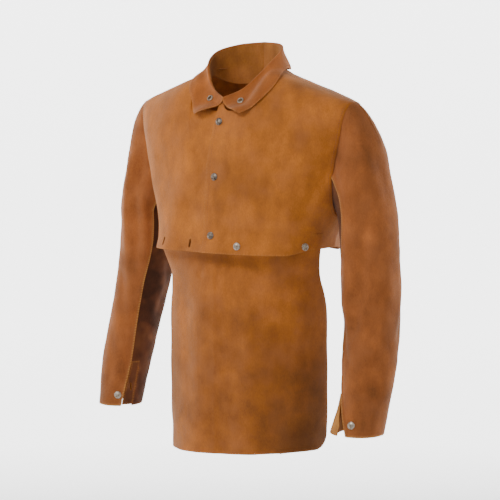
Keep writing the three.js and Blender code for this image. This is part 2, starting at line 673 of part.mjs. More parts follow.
for (const [word, cuff] of Object.entries(CUFFS)) {
  const { side } = cuff;
  const toCuff = (z) => clamp((VENT_TOP_Z - z) / VENT_LENGTH, 0, 1);
  const head = (turn, v) => headPoint(turn, 1 - v * 0.995);
  add(`${word}_sleeve_head`, sleeveRing({ side, point: head, levels: evenly(4) }), COLOURS.suedeLight);

  const upper = { side, topZ: SLEEVE_TOP_Z - 1.2, bottomZ: ELBOW_Z + ELBOW_HALF, levels: evenly(3) };
  const outerTurns = { fromTurn: BACK_SEAM + SEAM_TURN - 360, toTurn: FRONT_SEAM - SEAM_TURN };
  const underTurns = { fromTurn: FRONT_SEAM + SEAM_TURN, toTurn: BACK_SEAM - SEAM_TURN };
  const upperOuter = sleevePanel({ ...upper, ...outerTurns, columns: 12 });
  const upperUnder = sleevePanel({ ...upper, ...underTurns, columns: 5 });
  add(`${word}_upper_sleeve_outer`, upperOuter, COLOURS.suede);
  add(`${word}_upper_sleeve_under`, upperUnder, COLOURS.suedeDark);

  const elbow = (turn, v) => sleeveAt(turn, mix(ELBOW_Z - ELBOW_HALF + 1, ELBOW_Z + ELBOW_HALF - 1, v));
  add(`${word}_sleeve_elbow`, sleeveRing({ side, point: elbow, levels: evenly(2) }), COLOURS.suedeLight);

  const lower = { side, topZ: ELBOW_Z - ELBOW_HALF, bottomZ: SLEEVE_END_Z };
  const levels = [0, 0.12, 0.24, 0.36, 0.46, 0.52, 0.76, 1];
  const outerEdge = (z) => mix(FRONT_SEAM - SEAM_TURN, cuff.outerEdge, toCuff(z));
  const tabSideEdge = (z) => mix(FRONT_SEAM + SEAM_TURN, cuff.tabTo + 1.5, smoothstep(toCuff(z), 0, 0.2));
  const outerPanel = sleevePanel({ ...lower, ...outerTurns, toTurn: outerEdge, levels, columns: 12 });
  const underPanel = sleevePanel({ ...lower, ...underTurns, fromTurn: tabSideEdge, levels, columns: 5 });

  // The cuff snap sits near the vent edge of the outer panel.
  const snapTurn = cuff.outerEdge - 12;
  const snapZ = SLEEVE_END_Z + 22;
  const axisPoint = new THREE.Vector3(side * sleeveValue('x', snapZ), sleeveValue('y', snapZ), snapZ);
  const snapSide = mirrored(sleeveAt(snapTurn, snapZ), side).sub(axisPoint).setZ(0);
  const outside = axisPoint.addScaledVector(snapSide, 3);
  const cuffSpot = seatOn(outerPanel, outside, snapSide.clone().negate());
  add(`${word}_forearm_outer`, cut(outerPanel, holes([cuffSpot])), COLOURS.suede);
  add(`${word}_forearm_under`, underPanel, COLOURS.suedeDark);
  snap(`${word}_cuff_snap_cap`, capShape, cuffSpot.point, cuffSpot.normal, COLOURS.nickel);
  snap(`${word}_cuff_snap_socket`, socketShape, cuffSpot.point, cuffSpot.normal, COLOURS.nickel);

  // The tab carries a slot for the stud of a glove or of a second sleeve.
  const tabWidth = { fromTurn: (z) => Math.max(cuff.tabFrom, outerEdge(z) + 2.5), toTurn: cuff.tabTo };
  const tabLength = { topZ: VENT_TOP_Z - 20, bottomZ: SLEEVE_END_Z + 3, levels: evenly(4) };
  const tab = sleevePanel({ side, ...tabWidth, ...tabLength, columns: 3, flare: cuff.flare });
  const slotTurn = (cuff.tabFrom + cuff.tabTo) / 2;
  const slotAt = mirrored(sleeveAt(slotTurn, SLEEVE_END_Z + 34), side);
  const slot = new THREE.BoxGeometry(LEATHER * 12, SLOT_WIDTH, SLOT_LENGTH);
  slot.rotateZ(side * radians(-slotTurn));
  slot.translate(slotAt.x, slotAt.y, slotAt.z);
  add(`${word}_cuff_tab`, cut(tab, [slot]), COLOURS.suedeLight);
}

export default jacket;
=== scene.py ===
"""Looks of a split-cowhide cape-sleeve welding jacket with a snap-on bib.

Shapes are worked out in millimetres and become metres when a mesh is made.
+X is the wearer's left, -Y the front, +Z up. The origin is the middle of the neck opening.
"""

import json
import math

import bpy
import numpy as np
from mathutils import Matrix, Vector
from mathutils.bvhtree import BVHTree


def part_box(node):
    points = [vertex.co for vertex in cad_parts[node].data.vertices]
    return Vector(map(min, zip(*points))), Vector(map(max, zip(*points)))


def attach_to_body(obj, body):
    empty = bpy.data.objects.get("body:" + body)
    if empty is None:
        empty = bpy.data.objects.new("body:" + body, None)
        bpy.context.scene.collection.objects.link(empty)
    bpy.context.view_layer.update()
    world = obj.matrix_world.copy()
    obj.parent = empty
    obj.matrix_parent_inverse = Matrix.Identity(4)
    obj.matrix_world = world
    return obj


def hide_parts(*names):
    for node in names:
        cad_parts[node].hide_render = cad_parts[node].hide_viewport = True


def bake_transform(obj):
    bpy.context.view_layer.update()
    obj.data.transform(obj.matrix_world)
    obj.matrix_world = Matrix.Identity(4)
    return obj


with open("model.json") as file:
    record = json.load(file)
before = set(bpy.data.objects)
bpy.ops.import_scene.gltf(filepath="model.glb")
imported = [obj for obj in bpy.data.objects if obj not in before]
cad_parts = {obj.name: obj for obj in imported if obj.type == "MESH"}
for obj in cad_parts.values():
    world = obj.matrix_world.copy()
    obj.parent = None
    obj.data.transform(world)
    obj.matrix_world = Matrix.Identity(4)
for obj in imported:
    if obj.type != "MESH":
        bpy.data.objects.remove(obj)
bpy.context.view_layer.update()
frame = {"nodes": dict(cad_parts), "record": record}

# ---- driving dimensions, millimetres -------------------------------------------------------

LEATHER = 1.8            # thickness of one layer
LAP = 5.2                # height of the left front over the right one
EDGE_BULGE = 0.45        # how far a cut edge is rounded out
CUT_REACH = 2.4          # how far from a cut edge the face is rubbed pale
SHARP = math.radians(50)  # edges that turn more than this stay sharp

HEM_Z = -345
CHEST_Z = -190
RIDGE_NECK_X, RIDGE_ARM_X = 80, 250
RIDGE_SLOPE, RIDGE_NECK_Z, RIDGE_FORWARD = 0.35, 6, 24
HEM_HALF_WIDTH, CHEST_HALF_WIDTH, SHOULDER_HALF_WIDTH = 201, 229, 256
FRONT_DEPTH_HEM, FRONT_DEPTH_TOP = 146, 107
BACK_DEPTH_HEM, BACK_DEPTH_TOP = 128, 122
SECTION_POWER = 2.6
NECK_FRONT_Z, NECK_BACK_Z = -62, 18
UNDERLAP_X, FREE_EDGE_X = 25, -13

ARMHOLE_TOP_Z, ARMHOLE_BOTTOM_Z, ARMHOLE_DEPTH = -53.5, -275, 55
SLEEVE_TOP_Z, SLEEVE_TOP_TILT, SLEEVE_END_Z = -228, 66, -678
ELBOW_Z, ELBOW_HALF = -430, 48
VENT_LENGTH = 92
FRONT_SEAM, BACK_SEAM = 140, 240     # degrees around the sleeve

BIB_TOP_Z, BIB_BAND_END_Z, BIB_FOLD_END_Z, BIB_BOTTOM_Z = -305, -349, -392, -740
BIB_BOTTOM_TILT = 0.07
BIB_HALF_WIDTH, BIB_DEPTH, BIB_CORNER = 177, 137, 32
BIB_INSET = 7.4          # how far the bib hangs inside the hem

SIDES = (("left", 1), ("right", -1))

# ---- small helpers -------------------------------------------------------------------------


def mix(a, b, t):
    return a + (b - a) * t


def smoothstep(x, low, high):
    t = np.clip((x - low) / (high - low), 0, 1)
    return t * t * (3 - 2 * t)


def unit(vectors):
    return vectors / np.maximum(np.linalg.norm(vectors, axis=-1, keepdims=True), 1e-9)


def rounded(angle, power=SECTION_POWER):
    """A point of a rounded rectangle at an angle in degrees: (across, out)."""
    across, out = np.sin(np.radians(angle)), np.cos(np.radians(angle))
    size = (np.abs(across) ** power + np.abs(out) ** power) ** (1 / power)
    return across / size, out / size


def round_off(fraction, power=SECTION_POWER):
    return (1 - np.minimum(np.abs(fraction), 1) ** power) ** (1 / power)


def catmull(points, t):
    """Centripetal Catmull-Rom curve through points, at t from 0 to 1."""
    pts = np.array(points, float)
    last = len(pts) - 1
    place = min(max(t, 0.0), 1.0) * last
    k = min(int(place), last - 1)
    w = place - k
    p1, p2 = pts[k], pts[k + 1]
    p0 = pts[k - 1] if k > 0 else 2 * p1 - p2
    p3 = pts[k + 2] if k + 2 <= last else 2 * p2 - p1
    gaps = [max(np.linalg.norm(b - a) ** 0.5, 1e-4) for a, b in ((p0, p1), (p1, p2), (p2, p3))]
    d0, d1, d2 = gaps
    t1 = ((p1 - p0) / d0 - (p2 - p0) / (d0 + d1) + (p2 - p1) / d1) * d1
    t2 = ((p2 - p1) / d1 - (p3 - p1) / (d1 + d2) + (p3 - p2) / d2) * d1
    return p1 + t1 * w + (-3 * p1 + 3 * p2 - 2 * t1 - t2) * w ** 2 + (2 * p1 - 2 * p2 + t1 + t2) * w ** 3


def undulation(points, seed, length, stretch=(1, 1, 1), count=10):
    """Smooth random waves of about that length; stretch above 1 packs the waves along that axis."""
    rng = np.random.default_rng(seed)
    total = np.zeros(points.shape[:-1])
    for _ in range(count):
        direction = unit(rng.normal(size=3)) * np.array(stretch)
        wave = direction * 2 * math.pi / length * rng.uniform(0.7, 1.5)
        total += np.sin(points @ wave + rng.uniform(0, 2 * math.pi))
    return total / math.sqrt(count)


def crease(points, start, end, width, height):
    """A fold along a straight line, highest in its middle."""
    a, b = np.array(start, float), np.array(end, float)
    t = ((points - a) @ (b - a)) / ((b - a) @ (b - a))
    nearest = a + np.clip(t, 0, 1)[..., None] * (b - a)
    away = np.linalg.norm(points - nearest, axis=-1)
    taper = np.sqrt(np.clip(4 * t * (1 - t), 0, 1))
    return height * taper * np.exp(-((away / width) ** 2))


# ---- the body of the cape ------------------------------------------------------------------


def body_half_width(z):
    rise = np.clip((z - HEM_Z) / (CHEST_Z - HEM_Z), 0, 1)
    return mix(HEM_HALF_WIDTH, CHEST_HALF_WIDTH, rise ** 1.4)


def body_depth(z, front):
    rise = np.clip((z - HEM_Z) / -HEM_Z, 0, 1)
    if front:
        return mix(FRONT_DEPTH_HEM, FRONT_DEPTH_TOP, rise)
    return mix(BACK_DEPTH_HEM, BACK_DEPTH_TOP, rise)


def ridge_height(x, front):
    reach = np.abs(x)
    outside = RIDGE_NECK_Z - np.maximum(reach - RIDGE_NECK_X, 0) * RIDGE_SLOPE
    hidden = 1 - np.minimum(reach / RIDGE_NECK_X, 1) ** 2
    return outside + (-24 if front else 24) * hidden


def body_point(angle, level, front, lift=0.0):
    """level: 0..1 from the hem to the chest, 1..2 from there to the shoulder ridge."""
    across, out = rounded(angle)
    rise, share = rounded(np.clip(level - 1, 0, 1) * 90)
    above = level > 1
    low_z = mix(HEM_Z, CHEST_Z, np.minimum(level, 1))
    spread = 1 - np.maximum(1 - rise, 0) ** 1.5
    half = np.where(above, mix(CHEST_HALF_WIDTH, SHOULDER_HALF_WIDTH, spread), body_half_width(low_z))
    z = np.where(above, mix(CHEST_Z, ridge_height(half * across, front), rise), low_z)
    depth = body_depth(z, front) * out * share + lift * out
    y = (-depth if front else depth) - RIDGE_FORWARD * rise * rise
    return np.stack(np.broadcast_arrays((half + lift) * across, y, z), -1)


def neckline_level(angle, front, corner=0.0):
    low, high = np.ones_like(angle), np.full_like(angle, 2.0)
    dip = NECK_FRONT_Z - 9 if front else NECK_BACK_Z
    power = 4 if front else 2
    for _ in range(40):
        level = (low + high) / 2
        point = body_point(angle, level, front)
        reach = np.clip(point[..., 0] / RIDGE_NECK_X, -1, 1)
        tip = corner * np.exp(-(((point[..., 0] + 4) / 11) ** 2))
        under = point[..., 2] < mix(RIDGE_NECK_Z, dip, np.sqrt(1 - np.abs(reach) ** power)) + tip
        low, high = np.where(under, level, low), np.where(under, high, level)
    ridge_x = body_point(angle, np.full_like(angle, 2.0), front)[..., 0]
    return np.where(np.abs(ridge_x) >= RIDGE_NECK_X, 2.0, low)


def armhole_spot(turn, front):
    """The armhole's (angle, level) at a turn around it: 0 top, 90 front or back, 180 underarm."""
    middle, half_height = (ARMHOLE_TOP_Z + ARMHOLE_BOTTOM_Z) / 2, (ARMHOLE_TOP_Z - ARMHOLE_BOTTOM_Z) / 2
    z = middle + half_height * math.cos(math.radians(turn))
    half = ARMHOLE_DEPTH * math.sin(math.radians(turn))
    if z <= CHEST_Z:
        out = min(half / body_depth(z, front), 1)
        return 90 - math.degrees(math.asin(out)), (z - HEM_Z) / (CHEST_Z - HEM_Z)
    top = ridge_height(RIDGE_ARM_X, front)
    rise = min((z - CHEST_Z) / (top - CHEST_Z), 1)
    share = round_off(rise)
    level = 1 + math.degrees(math.atan2(rise, share)) / 90
    limit = round_off(RIDGE_ARM_X / SHOULDER_HALF_WIDTH)
    out = min(half / (body_depth(z, front) * share), limit + 0.1) if share > 0.05 else limit
    return math.degrees(math.atan2(round_off(out), out)), level


def angle_of_x(x):
    return math.copysign(math.degrees(math.atan2(abs(x), 145)), x)


NECK_ANGLE = math.degrees(math.asin(RIDGE_NECK_X / SHOULDER_HALF_WIDTH))
ARM_TURNS = np.linspace(180, 0, 72)
SIDE_LEVELS = np.linspace(0, 0.43, 26)
NECK_SHARE = 0.3


def panel_grid(side, front, inner_edge, lift=None, columns=104):
    """Outer face of one body panel as rows x columns x 3, from its inner edge to the arm."""
    spots = [(90.0, level) for level in SIDE_LEVELS] + [armhole_spot(turn, front) for turn in ARM_TURNS]
    shares = np.linspace(0, 1, columns)
    inner = shares < NECK_SHARE
    rows = []
    for edge_angle, level in spots:
        slant = 4.0 * max(level - 1.15, 0) if lift else 0.0
        by_neck = mix(inner_edge + slant, NECK_ANGLE, shares / NECK_SHARE)
        by_arm = mix(NECK_ANGLE, edge_angle, (shares - NECK_SHARE) / (1 - NECK_SHARE))
        angle = np.where(inner, by_neck, by_arm)
        fitted = np.full_like(angle, level)
        if level > 1:
            top = neckline_level(angle if lift else np.abs(angle), front, 15.0 if lift else 0.0)
            fitted = 1 + (level - 1) * (top - 1)
        rise = lift(angle) if lift else 0.0
        rows.append(body_point(angle, fitted, front, rise))
    grid = np.array(rows)
    grid[..., 0] *= side
    return grid


def lap_lift(angle):
    return LAP * (1 - smoothstep(angle, angle_of_x(34), angle_of_x(95)))


# ---- sleeves -------------------------------------------------------------------------------

SLEEVE_STATIONS = {
    "x": [(-165, 248), (-250, 264), (-340, 270), (-430, 280), (-550, 292), (-690, 293)],
    "y": [(-165, -4), (-250, -3), (-340, 0), (-430, -6), (-550, -34), (-690, -70)],
    "across": [(-165, 54), (-250, 55), (-340, 57), (-430, 56), (-550, 52), (-690, 43)],
    "depth": [(-165, 60), (-250, 62), (-340, 60), (-430, 58), (-550, 54), (-690, 46)],
}
SLEEVE_TABLE = {
    key: np.array([catmull([(value, z) for z, value in stations], t) for t in np.linspace(0, 1, 241)])
    for key, stations in SLEEVE_STATIONS.items()
}


def sleeve_value(key, z):
    table = SLEEVE_TABLE[key][::-1]
    return np.interp(z, table[:, 1], table[:, 0])


def sleeve_at(turn, middle_z):
    """turn: degrees around the sleeve, 0 outer side, 90 front, 180 body side, 270 back."""
    down = np.clip((SLEEVE_TOP_Z - middle_z) / (SLEEVE_TOP_Z - ELBOW_Z), 0, 1)
    z = middle_z + mix(SLEEVE_TOP_TILT, 0, down) * np.cos(np.radians(turn))
    x = sleeve_value("x", z) + sleeve_value("across", z) * np.cos(np.radians(turn))
    y = sleeve_value("y", z) - sleeve_value("depth", z) * np.sin(np.radians(turn))
    return np.stack(np.broadcast_arrays(x, y, z), -1)


HEAD_TUCK = (2.2, 5.0)   # how far the sleeve starts inside the armhole, at its top and elsewhere
HEAD_INSET = (0.1, 2.4)  # and how much smaller it is there


def armhole_point(turn):
    turn = turn % 360
    front = turn <= 180
    angle, level = armhole_spot(turn if front else 360 - turn, front)
    point = body_point(np.array(float(angle)), np.array(float(level)), front)
    middle = np.array([point[0], -12, (ARMHOLE_TOP_Z + ARMHOLE_BOTTOM_Z) / 2])
    away_from_top = smoothstep(abs((turn + 180) % 360 - 180), 22, 62)
    inwards = unit(middle - point) * mix(*HEAD_INSET, away_from_top)
    return point + inwards - np.array([mix(*HEAD_TUCK, away_from_top), 0, 0])


def head_point(turn, v):
    start, end = armhole_point(turn), sleeve_at(turn, SLEEVE_TOP_Z)
    top = 0.5 + 0.5 * math.cos(math.radians(turn))
    start_pull = np.array([1, 0, -0.3]) * mix(24, 68, top)
    end_pull = np.array([0.12, 0, -1]) * mix(10, 110, top)
    v2, v3 = v * v, v * v * v
    return (start * (2 * v3 - 3 * v2 + 1) + start_pull * (v3 - 2 * v2 + v)
            + end * (3 * v2 - 2 * v3) + end_pull * (v3 - v2))


def hollow(turn, z, path, width, height):
    """A fold that runs down the sleeve along path, a list of (z, turn) points."""
    zs, turns = zip(*sorted(path))
    centre = np.interp(z, zs, turns)
    gap = (turn - centre + 180) % 360 - 180
    taper = smoothstep(z, zs[0], zs[0] + 45) * (1 - smoothstep(z, zs[-1] - 45, zs[-1]))
    return height * taper * np.exp(-((gap / width) ** 2))


# Folds of each sleeve: (path down the sleeve, width in degrees, height in mm).
SLEEVE_FOLDS = {
    "left": [
        ([(-190, 58), (-300, 64), (-400, 80), (-520, 108)], 17, -6.5),
        ([(-150, 92), (-260, 98), (-380, 112), (-470, 128)], 15, 4.5),
        ([(-330, 20), (-440, 34), (-560, 66)], 20, 3.5),
        ([(-370, 300), (-450, 330), (-520, 352)], 14, -4.0),
        ([(-410, 170), (-470, 140), (-560, 110)], 14, -3.5),
        ([(-140, 20), (-240, 4), (-330, -4)], 16, -2.6),
        ([(-200, 268), (-330, 284), (-460, 300)], 15, 3.2),
        ([(-520, 30), (-600, 52), (-670, 60)], 16, -2.2),
    ],
    "right": [
        ([(-110, 86), (-220, 96), (-330, 104), (-430, 100)], 12, -4.2),
        ([(-140, 66), (-260, 74), (-380, 82)], 12, 3.4),
        ([(-170, 116), (-300, 122), (-420, 130), (-500, 118)], 10, 2.6),
        ([(-380, 60), (-460, 88), (-540, 112)], 15, -3.6),
        ([(-360, 175), (-430, 196), (-520, 182)], 15, -4.0),
        ([(-500, 72), (-590, 92), (-660, 84)], 15, -2.4),
        ([(-200, 268), (-330, 284), (-460, 300)], 15, 3.2),
    ],
}


def front_seam(word, z):
    """Each sleeve is turned a little on the arm, so its front seam wanders."""
    if word == "left":
        return mix(107, FRONT_SEAM, smoothstep(-z, 235, 430))
    return FRONT_SEAM - 10 * np.exp(-(((z + 440) / 95) ** 2))


def to_cuff(z):
    """0 at the top of the vent, 1 at the cuff."""
    return np.clip((SLEEVE_END_Z + VENT_LENGTH - z) / VENT_LENGTH, 0, 1)


# Turns of the vent's edges at the cuff: the left cuff stands open, the right one lies closed.
# drop is how far below the vent's top the tab starts.
CUFFS = {
    "left": {"outer": 96, "tab_from": 108, "tab_to": 158, "flare": 15, "drop": 20},
    "right": {"outer": 131, "tab_from": 125, "tab_to": 160, "flare": 1, "drop": 2},
}
SEAM_LAP = 5.0           # degrees that the outer panel laps over the under panel


def vent_edge(word, z):
    """The turn of the outer panel's front edge."""
    return mix(front_seam(word, z), CUFFS[word]["outer"], to_cuff(z))


def tab_side(word, z):
    """The turn of the under panel's front edge, which makes room for the tab."""
    lapped = front_seam(word, z) - SEAM_LAP
    return mix(lapped, CUFFS[word]["tab_to"] + 1.0, smoothstep(to_cuff(z), 0, 0.2))


# ---- bib and collar outlines ---------------------------------------------------------------


def bib_point(angle, z):
    below = smoothstep(-z, -HEM_Z - 15, -HEM_Z + 60)
    half = mix(HEM_HALF_WIDTH - BIB_INSET, BIB_HALF_WIDTH, below)
    depth = mix(FRONT_DEPTH_HEM - BIB_INSET, BIB_DEPTH, below)
    across, out = rounded(angle, mix(SECTION_POWER, 2.1, below))
    spread = body_half_width(z) - HEM_HALF_WIDTH
    rise = np.clip((z - HEM_Z) / -HEM_Z, 0, 1) * (FRONT_DEPTH_HEM - FRONT_DEPTH_TOP)
    return np.stack([(half + spread) * across, -(depth - rise) * out, np.broadcast_to(z, across.shape)], -1)


def bib_half_angle(z):
    spread = mix(72, 86, smoothstep(-z, -HEM_Z - 20, -HEM_Z + 120))
    over_corner = np.clip((BIB_BOTTOM_Z + BIB_CORNER - z) / BIB_CORNER, 0, 1)
    pulled_in = BIB_CORNER * (1 - np.sqrt(1 - over_corner ** 2))
    return spread - math.degrees(pulled_in / BIB_DEPTH)


# Half outlines of the collar from the centre front to the centre back.
NECK_BASE = [
    (0, -103, -58), (36, -88, -47), (62, -66, -24), (77, -42, 6), (76, -14, 17), (50, 20, 22), (0, 38, 23),
]
FOLD = [
    (0, -108, -47), (35, -91, -31), (62, -72, -2), (78, -48, 25), (79, -18, 44), (52, 18, 57), (0, 36, 62),
]
LEAF_EDGE = [
    (55, -116, -80), (80, -105, -60), (98, -82, -31), (95, -47, -1), (85, -8, 11), (58, 42, 10), (0, 64, 10),
]
COLLAR_CENTRE_Y = -36
LEAF_REST = 0.7          # the leaf's inner face stays this far off the body
STAND_INSET = 3.0
ROLL_RADIUS = 1.9        # of the fold
TURNED_IN = 16           # the leaf reaches this far down inside the fold

# ---- meshes --------------------------------------------------------------------------------


def outward_normals(grid, centre):
    """Normals of a grid that point away from centre, and whether the grid runs the other way."""
    normals = unit(np.cross(np.gradient(grid, axis=1), np.gradient(grid, axis=0)))
    away = grid - np.broadcast_to(centre, grid.shape)
    flipped = float((normals * away).sum(-1).mean()) < 0
    return (-normals if flipped else normals), flipped


def border(rows, columns):
    """The loop of (row, column, side) around a grid."""
    loop = [(0, c, "b") for c in range(columns)]
    loop += [(r, columns - 1, "r") for r in range(1, rows)]
    loop += [(rows - 1, c, "t") for c in reversed(range(columns - 1))]
    loop += [(r, 0, "l") for r in reversed(range(1, rows - 1))]
    return loop


def leather(name, grid, centre, materials, raw="", wear=None):
    """A sheet of leather from its outer face. raw names the cut borders: b bottom, t top, l, r.

    materials are the outer face's, the inner face's and the cut edge's.
    """
    rows, columns = grid.shape[:2]
    normals, flipped = outward_normals(grid, centre)
    outer, inner = grid.reshape(-1, 3), (grid - normals * LEATHER).reshape(-1, 3)
    count = rows * columns
    faces, slots = [], []
    for r in range(rows - 1):
        for c in range(columns - 1):
            a = r * columns + c
            quad = (a, a + 1, a + 1 + columns, a + columns)
            faces.append(quad)
            faces.append(tuple(k + count for k in reversed(quad)))
            slots += [0, 1]
    loop = border(rows, columns)
    index = np.array([r * columns + c for r, c, _ in loop])
    path, normal = outer[index], normals.reshape(-1, 3)[index]
    along = unit(np.roll(path, -1, 0) - np.roll(path, 1, 0))
    outside = np.cross(along, normal) * (-1 if flipped else 1)
    is_raw = np.array([side in raw for _, _, side in loop], float)
    rim = (path + inner[index]) / 2 + outside * (EDGE_BULGE * is_raw)[:, None]
    first = 2 * count
    for k in range(len(loop)):
        n = (k + 1) % len(loop)
        faces.append((index[n], index[k], first + k, first + n))
        faces.append((first + n, first + k, index[k] + count, index[n] + count))
        slots += [2, 2] if is_raw[k] else [1, 1]
    points = np.concatenate([outer, inner, rim])
    if flipped:
        faces = [tuple(reversed(face)) for face in faces]
    obj = mesh_piece(name, points, [[int(k) for k in face] for face in faces], materials, slots)
    cut = path[is_raw > 0]
    near = nearest_share(points, cut, CUT_REACH) if len(cut) else np.zeros(len(points))
    if wear is not None:
        near = np.maximum(near, wear(points))
    paint(obj, "worn", near)
    return obj


def nearest_share(points, targets, reach):
    """1 on the targets, falling to 0 over about twice the reach."""
    best = np.full(len(points), 1e9)
    for start in range(0, len(points), 4000):
        part = points[start:start + 4000]
        gaps = ((part[:, None] - targets[None, ::2]) ** 2).sum(-1)
        best[start:start + 4000] = gaps.min(1)
    return np.exp(-best / reach ** 2)


def paint(obj, name, values):
    attribute = obj.data.attributes.get(name) or obj.data.attributes.new(name, "FLOAT", "POINT")
    attribute.data.foreach_set("value", np.asarray(values, np.float32))


def keep_rest(obj):
    """Stores the resting place of every point, so that a finish stays on its leather in a pose."""
    count = len(obj.data.vertices)
    co = np.zeros(count * 3, np.float32)
    obj.data.vertices.foreach_get("co", co)
    attribute = obj.data.attributes.get("rest") or obj.data.attributes.new("rest", "FLOAT_VECTOR", "POINT")
    attribute.data.foreach_set("vector", co)


def mesh_piece(name, points, faces, materials, slots=None, sharp=SHARP):
    """A mesh from points in millimetres; slots gives each face's place in materials."""
    mesh = bpy.data.meshes.new(name)
    mesh.from_pydata((np.asarray(points) / 1000).tolist(), [], faces)
    for material in materials:
        mesh.materials.append(material)
    if slots:
        mesh.polygons.foreach_set("material_index", slots)
    mesh.polygons.foreach_set("use_smooth", [True] * len(faces))
    mesh.set_sharp_from_angle(angle=sharp)
    obj = bpy.data.objects.new(name, mesh)
    bpy.context.scene.collection.objects.link(obj)
    return obj


def stitches(name, paths, material, pitch=4.4, length=3.1, radius=0.42):
    """Thread stitches along lists of (points, normals) that lie on the leather."""
    points, faces = [], []
    shape = [(-0.5, 0.25, -0.35), (-0.28, 0.85, 0.12), (0, 1.0, 0.3), (0.28, 0.85, 0.12), (0.5, 0.25, -0.35)]
    sides = 6
    for path, normals in paths:
        lengths = np.concatenate([[0], np.cumsum(np.linalg.norm(np.diff(path, axis=0), axis=1))])
        for middle in np.arange(pitch, lengths[-1] - pitch / 2, pitch):
            def at(distance):
                return np.array([np.interp(distance, lengths, path[:, k]) for k in range(3)])
            along = unit(at(middle + length / 2) - at(middle - length / 2))
            normal = unit(np.array([np.interp(middle, lengths, normals[:, k]) for k in range(3)]))
            across = np.cross(normal, along)
            first = len(points)
            for share, size, height in shape:
                ring = at(middle + share * length) + normal * height
                for k in range(sides):
                    turn = 2 * math.pi * k / sides
                    spoke = across * math.cos(turn) + normal * math.sin(turn)
                    points.append(ring + spoke * radius * size)
            for j in range(len(shape) - 1):
                for k in range(sides):
                    a, b = first + j * sides + k, first + j * sides + (k + 1) % sides
                    faces.append((a, b, b + sides, a + sides))
            faces.append(tuple(first + k for k in reversed(range(sides))))
            faces.append(tuple(first + (len(shape) - 1) * sides + k for k in range(sides)))
    return mesh_piece(name, points, faces, [material])


def inset_path(grid, normals, side, distance, first=0.0, last=1.0):
    """The line that runs beside one border of a grid, that many millimetres in."""
    if side in "bt":
        grid, normals = grid.transpose(1, 0, 2), normals.transpose(1, 0, 2)
    if side in "rt":
        grid, normals = grid[:, ::-1], normals[:, ::-1]
    path, directions = [], []
    for row, normal in zip(grid, normals):
        lengths = np.concatenate([[0], np.cumsum(np.linalg.norm(np.diff(row, axis=0), axis=1))])
        path.append([np.interp(distance, lengths, row[:, k]) for k in range(3)])
        directions.append([np.interp(distance, lengths, normal[:, k]) for k in range(3)])
    a, b = int(first * len(path)), int(last * len(path))
    return np.array(path)[a:b], np.array(directions)[a:b]


def turned(name, profile, centre, axis, materials, segments=48, slots=None):
    """A part turned on an axis, from (radius, height) points in millimetres, bottom to top."""
    axis = unit(np.array(axis, float))
    side = unit(np.cross(axis, [0.31, 0.2, 0.93]))
    other = np.cross(axis, side)
    turns = np.linspace(0, 2 * math.pi, segments, endpoint=False)
    points, faces, kinds = [], [], []
    for radius, height in profile:
        for turn in turns:
            spoke = side * math.cos(turn) + other * math.sin(turn)
            points.append(np.array(centre) + axis * height + spoke * max(radius, 0.02))
    for j in range(len(profile) - 1):
        for k in range(segments):
            a, b = j * segments + k, j * segments + (k + 1) % segments
            faces.append((a, b, b + segments, a + segments))
            kinds.append(slots[j] if slots else 0)
    faces.append(tuple(reversed(range(segments))))
    faces.append(tuple((len(profile) - 1) * segments + k for k in range(segments)))
    kinds += [0, 0]
    return mesh_piece(name, points, faces, materials, kinds, math.radians(42))


# ---- materials -----------------------------------------------------------------------------


class Nodes:
    """Short calls for building one material's node tree."""

    def __init__(self, name):
        self.material = bpy.data.materials.new(name)
        self.material.use_nodes = True
        self.tree = self.material.node_tree
        self.shader = self.tree.nodes["Principled BSDF"]

    def add(self, kind, **settings):
        node = self.tree.nodes.new(kind)
        for key, value in settings.items():
            setattr(node, key, value)
        return node

    def link(self, source, target):
        self.tree.links.new(source, target)

    def noise(self, place, scale, detail=3.0, roughness=0.55, stretch=None):
        source = place
        if stretch:
            mapping = self.add("ShaderNodeMapping")
            mapping.inputs["Scale"].default_value = stretch
            self.link(place, mapping.inputs["Vector"])
            source = mapping.outputs["Vector"]
        node = self.add("ShaderNodeTexNoise")
        node.inputs["Scale"].default_value = scale
        node.inputs["Detail"].default_value = detail
        node.inputs["Roughness"].default_value = roughness
        self.link(source, node.inputs["Vector"])
        return node.outputs["Fac"]

    def ramp(self, value, stops):
        node = self.add("ShaderNodeValToRGB")
        elements = node.color_ramp.elements
        while len(elements) < len(stops):
            elements.new(0.5)
        for element, (position, colour) in zip(elements, stops):
            element.position = position
            element.color = (*colour, 1) if hasattr(colour, "__len__") else (colour, colour, colour, 1)
        self.link(value, node.inputs["Fac"])
        return node.outputs["Color"]

    def math(self, operation, a, b):
        node = self.add("ShaderNodeMath", operation=operation)
        for socket, value in zip(node.inputs, (a, b)):
            if isinstance(value, (int, float)):
                socket.default_value = value
            else:
                self.link(value, socket)
        return node.outputs["Value"]

    def blend(self, mode, factor, a, b):
        node = self.add("ShaderNodeMix", data_type="RGBA", blend_type=mode)
        for socket, value in ((node.inputs["Factor"], factor), (node.inputs[6], a), (node.inputs[7], b)):
            if isinstance(value, (int, float)):
                socket.default_value = value
            elif isinstance(value, tuple):
                socket.default_value = (*value, 1)
            else:
                self.link(value, socket)
        return node.outputs[2]

    def bump(self, height, strength, distance, normal=None):
        node = self.add("ShaderNodeBump")
        node.inputs["Strength"].default_value = strength
        node.inputs["Distance"].default_value = distance
        self.link(height, node.inputs["Height"])
        if normal:
            self.link(normal, node.inputs["Normal"])
        return node.outputs["Normal"]

    def attribute(self, name, output):
        return self.add("ShaderNodeAttribute", attribute_name=name).outputs[output]


def linear(red, green, blue):
    """A display colour of 0..255 as the linear colour that a shader takes."""
    def one(value):
        value /= 255
        return value / 12.92 if value <= 0.04045 else ((value + 0.055) / 1.055) ** 2.4
    return one(red), one(green), one(blue)


def scaled(colour, factor):
    return tuple(channel * factor for channel in colour)


